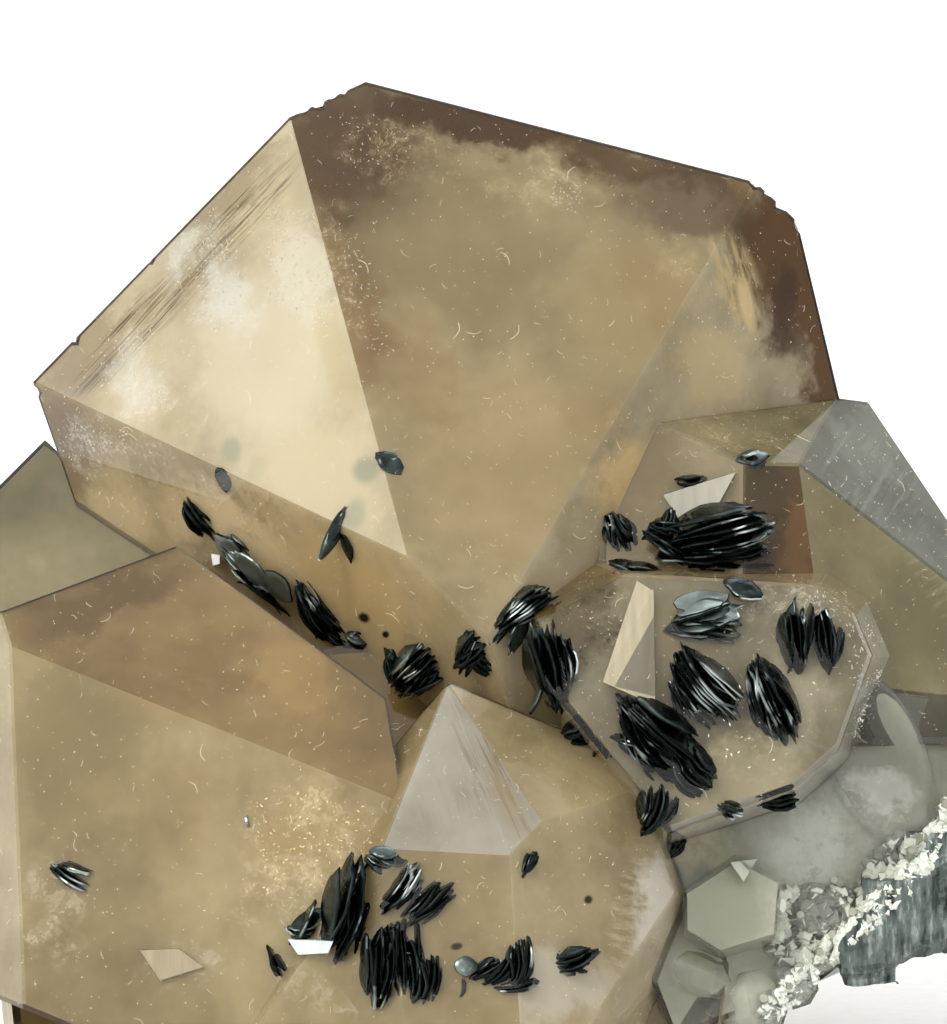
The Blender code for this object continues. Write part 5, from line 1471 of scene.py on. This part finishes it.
# A sheet laid on the surface inside an outline.
def patch(name, outline, sink):
    bm = bmesh.new()
    bm.faces.new([bm.verts.new(place((x, y, 0.0))) for x, y in outline])
    bmesh.ops.triangulate(bm, faces=bm.faces[:])
    bmesh.ops.subdivide_edges(bm, edges=bm.edges[:], cuts=3, use_grid_fill=True)
    for v in bm.verts:
        v.co = onFace(*pictureOf(v.co), sink)
    bmesh.ops.recalc_face_normals(bm, faces=bm.faces[:])
    if sum((f.normal * f.calc_area() for f in bm.faces), Vector()).dot(away) > 0:
        bmesh.ops.reverse_faces(bm, faces=bm.faces[:])
    return newObject(name, bm)


# Pieces scattered over the surface inside an outline.
def scatterOn(name, outline, sink, *said):
    bed = patch("patch", outline, sink)
    made = scatter(name, bed, *said)
    bpy.data.objects.remove(bed, do_unlink=True)
    return made


def joinObjects(name, items):
    materials = []
    bm = bmesh.new()
    for item in items:
        slots = []
        for material in item.data.materials:
            if material not in materials:
                materials.append(material)
            slots.append(materials.index(material))
        part = meshOf(item)
        for face in part.faces:
            face.material_index = slots[min(face.material_index, len(slots) - 1)]
        mesh = bpy.data.meshes.new("part")
        part.to_mesh(mesh)
        part.free()
        bm.from_mesh(mesh)
        bpy.data.meshes.remove(mesh)
        bpy.data.objects.remove(item, do_unlink=True)
    return newObject(name, bm, materials)


lintMaterial = shine("lint and dust, pale fibres", "#EDE5C8", 0.8, 3.3333)
glitterMaterial = shine("broken quartz, glittering fracture chips", "#F4F1E4", 0.35, 2.0)
goldMaterial = shine("broken smoky quartz, golden fracture chips", "#EAD6A0", 0.35, 2.0)
rng = random.Random(5)
ground = frontFaces(shells[0], "ground")
# Bits to scatter, in millimetres: fibres by length, thickness and curl, grains and flakes by size.
pieces = {
    "long": fibre(1.2, 0.028, 0.3, rng),
    "short": fibre(0.5, 0.022, 0.4, rng),
    "grain": grainOf(0.027),
    "flake": flake(0.065, 0.02),
}
# Dust on the faces: the bit, how many a square metre, smallest and largest size, lean and seed.
dust = {
    "lint_long": ("long", 2.2e4, 0.35, 1.0, 0.15, 3),
    "lint_short": ("short", 1.6e5, 0.3, 1.1, 0.3, 4),
    "dust": ("grain", 1.1e6, 0.3, 1.5, 0.5, 5),
}
dustPieces = [scatter(name, ground, pieces[bit], lintMaterial, *said) for name, (bit, *said) in dust.items()]
# Glittering fractures just under the faces: outline (right, up), depth, chips a square metre and
# largest size. On the clear crystal the white chips of the glints, rim and rim top patches are partly
# fracture chips and partly painted glints.
fractures = {
    "golden": (((-13.4, -17.3), (-9.5, -16.6), (-6.6, -17.4), (-5.8, -20.4), (-8.6, -24.2), (-12.5, -23.2)),
               -0.02, 5.1e6, 1.0),
    "streak": (((-18.2, 16.6), (-15.6, 18.4), (-14.2, 16.2), (-16.8, 13.4)), 0.08, 8.5e6, 1.2),
    "white veil": (((-17.0, 15.0), (-14.0, 14.4), (-13.8, 11.4), (-15.6, 10.6)), 0.08, 1.19e7, 1.3),
    "edge": (((-12.4, 18.6), (-9.6, 18.0), (-8.2, 13.5), (-8.6, 10.9), (-12.4, 12.8)), 0.08, 1.02e7, 1.3),
    "left corner": (((-22.4, 11.0), (-19.2, 11.2), (-19.2, 6.6), (-22.6, 7.4)), 0.08, 5.1e6, 1.2),
    "low corner": (((-25.2, 5.8), (-21.0, 5.0), (-20.6, 3.6), (-24.6, 3.2)), 0.08, 8.5e6, 1.2),
    "veil": (((4.4, 19.9), (6.9, 19.6), (6.2, 17.9), (4.6, 18.2)), 0.08, 1.36e7, 1.0),
    "veil left": (((-8.2, 24.4), (-3.4, 23.3), (-4.0, 20.8), (-8.2, 20.4)), 0.08, 3.4e6, 1.0),
    "veil low": (((-8.4, 17.2), (-6.8, 17.0), (-4.6, 9.4), (-6.4, 9.4)), 0.08, 5.1e6, 1.1),
    "right": (((16.0, 16.3), (17.3, 15.7), (17.0, 11.5), (14.0, 8.5), (13.4, 10.9)), 0.08, 2.72e6, 1.0),
    # glints: white chips in the clear crystal, partly painted glints
    "glints": (((11.4, -9.6), (17.6, -8.8), (21.8, -10.4), (19.4, -14.6), (14.8, -16.4), (11.6, -13.0)),
               -0.02, 8.5e5, 1.2),
    "moss": (((4.8, -3.4), (7.8, -2.8), (9.6, -5.4), (7.0, -9.4), (4.4, -7.6)), -0.02, 1.7e6, 0.7),
    # rim and rim top: white chips along the clear crystal's rim, partly painted glints
    "rim": (((22.3, -4.8), (24.6, -7.7), (24.4, -14.0), (22.9, -14.8), (22.6, -9.5)), 0.2, 8.5e6, 1.4),
    "rim top": (((18.9, -3.7), (22.3, -4.8), (22.6, -7.0), (20.1, -5.6)), 0.2, 8.5e6, 1.3),
}
glitter = {"golden": ("golden", "right"), "smallest": 0.25, "lean": 0.9, "seed": 8}
glitterPieces = []
for name, (outline, sink, many, largest) in fractures.items():
    material = goldMaterial if name in glitter["golden"] else glitterMaterial
    glitterPieces.append(scatterOn(
        "glitter", outline, sink, pieces["flake"], material, many, glitter["smallest"], largest,
        glitter["lean"], glitter["seed"]))
# Broken quartz along the break, white on the ridge over the rock and grey below it: outline
# (right, up), chips a square metre and largest size.
crust = (
    ("white", ((28.4, -17.0), (26.5, -20.3), (24.4, -22.7), (25.0, -24.1), (27.0, -22.1),
               (28.4, -19.4)), 1.8e7, 1.15),
    ("white", ((24.4, -22.7), (22.6, -24.2), (21.4, -25.4), (19.6, -26.9), (19.6, -29.3),
               (22.0, -26.6), (23.5, -25.3), (25.0, -24.1)), 1.8e7, 1.15),
    ("white", ((19.6, -26.9), (18.1, -28.7), (17.0, -29.9), (17.8, -30.6), (19.6, -29.3)), 1.8e7, 1.1),
    ("grey", ((25.2, -19.2), (27.0, -19.6), (25.2, -22.9), (23.2, -24.8), (23.0, -22.0)), 1e7, 1.6),
    ("grey", ((18.4, -22.8), (22.8, -22.6), (22.4, -25.2), (19.4, -27.2), (17.6, -27.0)), 9e6, 1.7),
)
# How deep the white and the grey chips sit, their smallest size, lean and first seed, and the chip.
crustLook = {
    "sink": {"white": 0.25, "grey": 0.4}, "smallest": 0.5, "lean": 0.8, "seed": 11,
    "chip": 0.42, "chipSeed": 3,
}
surface = surfaceOf([meshOf(item) for item in (*shells, rockPiece)])
crustMaterials = {
    "white": shine("broken quartz crust, white ridge", "#C8CCC2", 0.35, 0.66667, 1.3),
    "grey": shine("broken quartz crust, grey pieces", "#A4A79B", 0.35, 1.1111, 1.35),
}
pieces["chip"] = newObject("chip", lump(Vector(), crustLook["chip"], random.Random(crustLook["chipSeed"])))
crustPieces = []
for n, (kind, outline, many, largest) in enumerate(crust):
    crustPieces.append(scatterOn(
        "crust", outline, crustLook["sink"][kind], pieces["chip"], crustMaterials[kind], many,
        crustLook["smallest"], largest, crustLook["lean"], crustLook["seed"] + n))
for item in [ground, *pieces.values()]:
    bpy.data.objects.remove(item, do_unlink=True)
crustPiece = joinObjects("white_quartz_crust", crustPieces)
facePiece = joinObjects("small_pale_faces", palePieces)
dustPiece = joinObjects("lint_and_dust", dustPieces)
glitterPiece = joinObjects("glittering_fractures", glitterPieces)

crystalPiece = joinObjects("quartz_crystals", shells)
for node, piece in hematitePieces.items():
    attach(piece, "root")
    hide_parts(node)
for piece in (dustPiece, glitterPiece, crustPiece, facePiece):
    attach(piece, "root")
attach(rockPiece, "root")
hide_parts("metallic_matrix_rock")
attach(cloudPiece, "root")
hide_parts("quartz_cluster")
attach(crystalPiece, "root")
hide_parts("quartz_cluster")
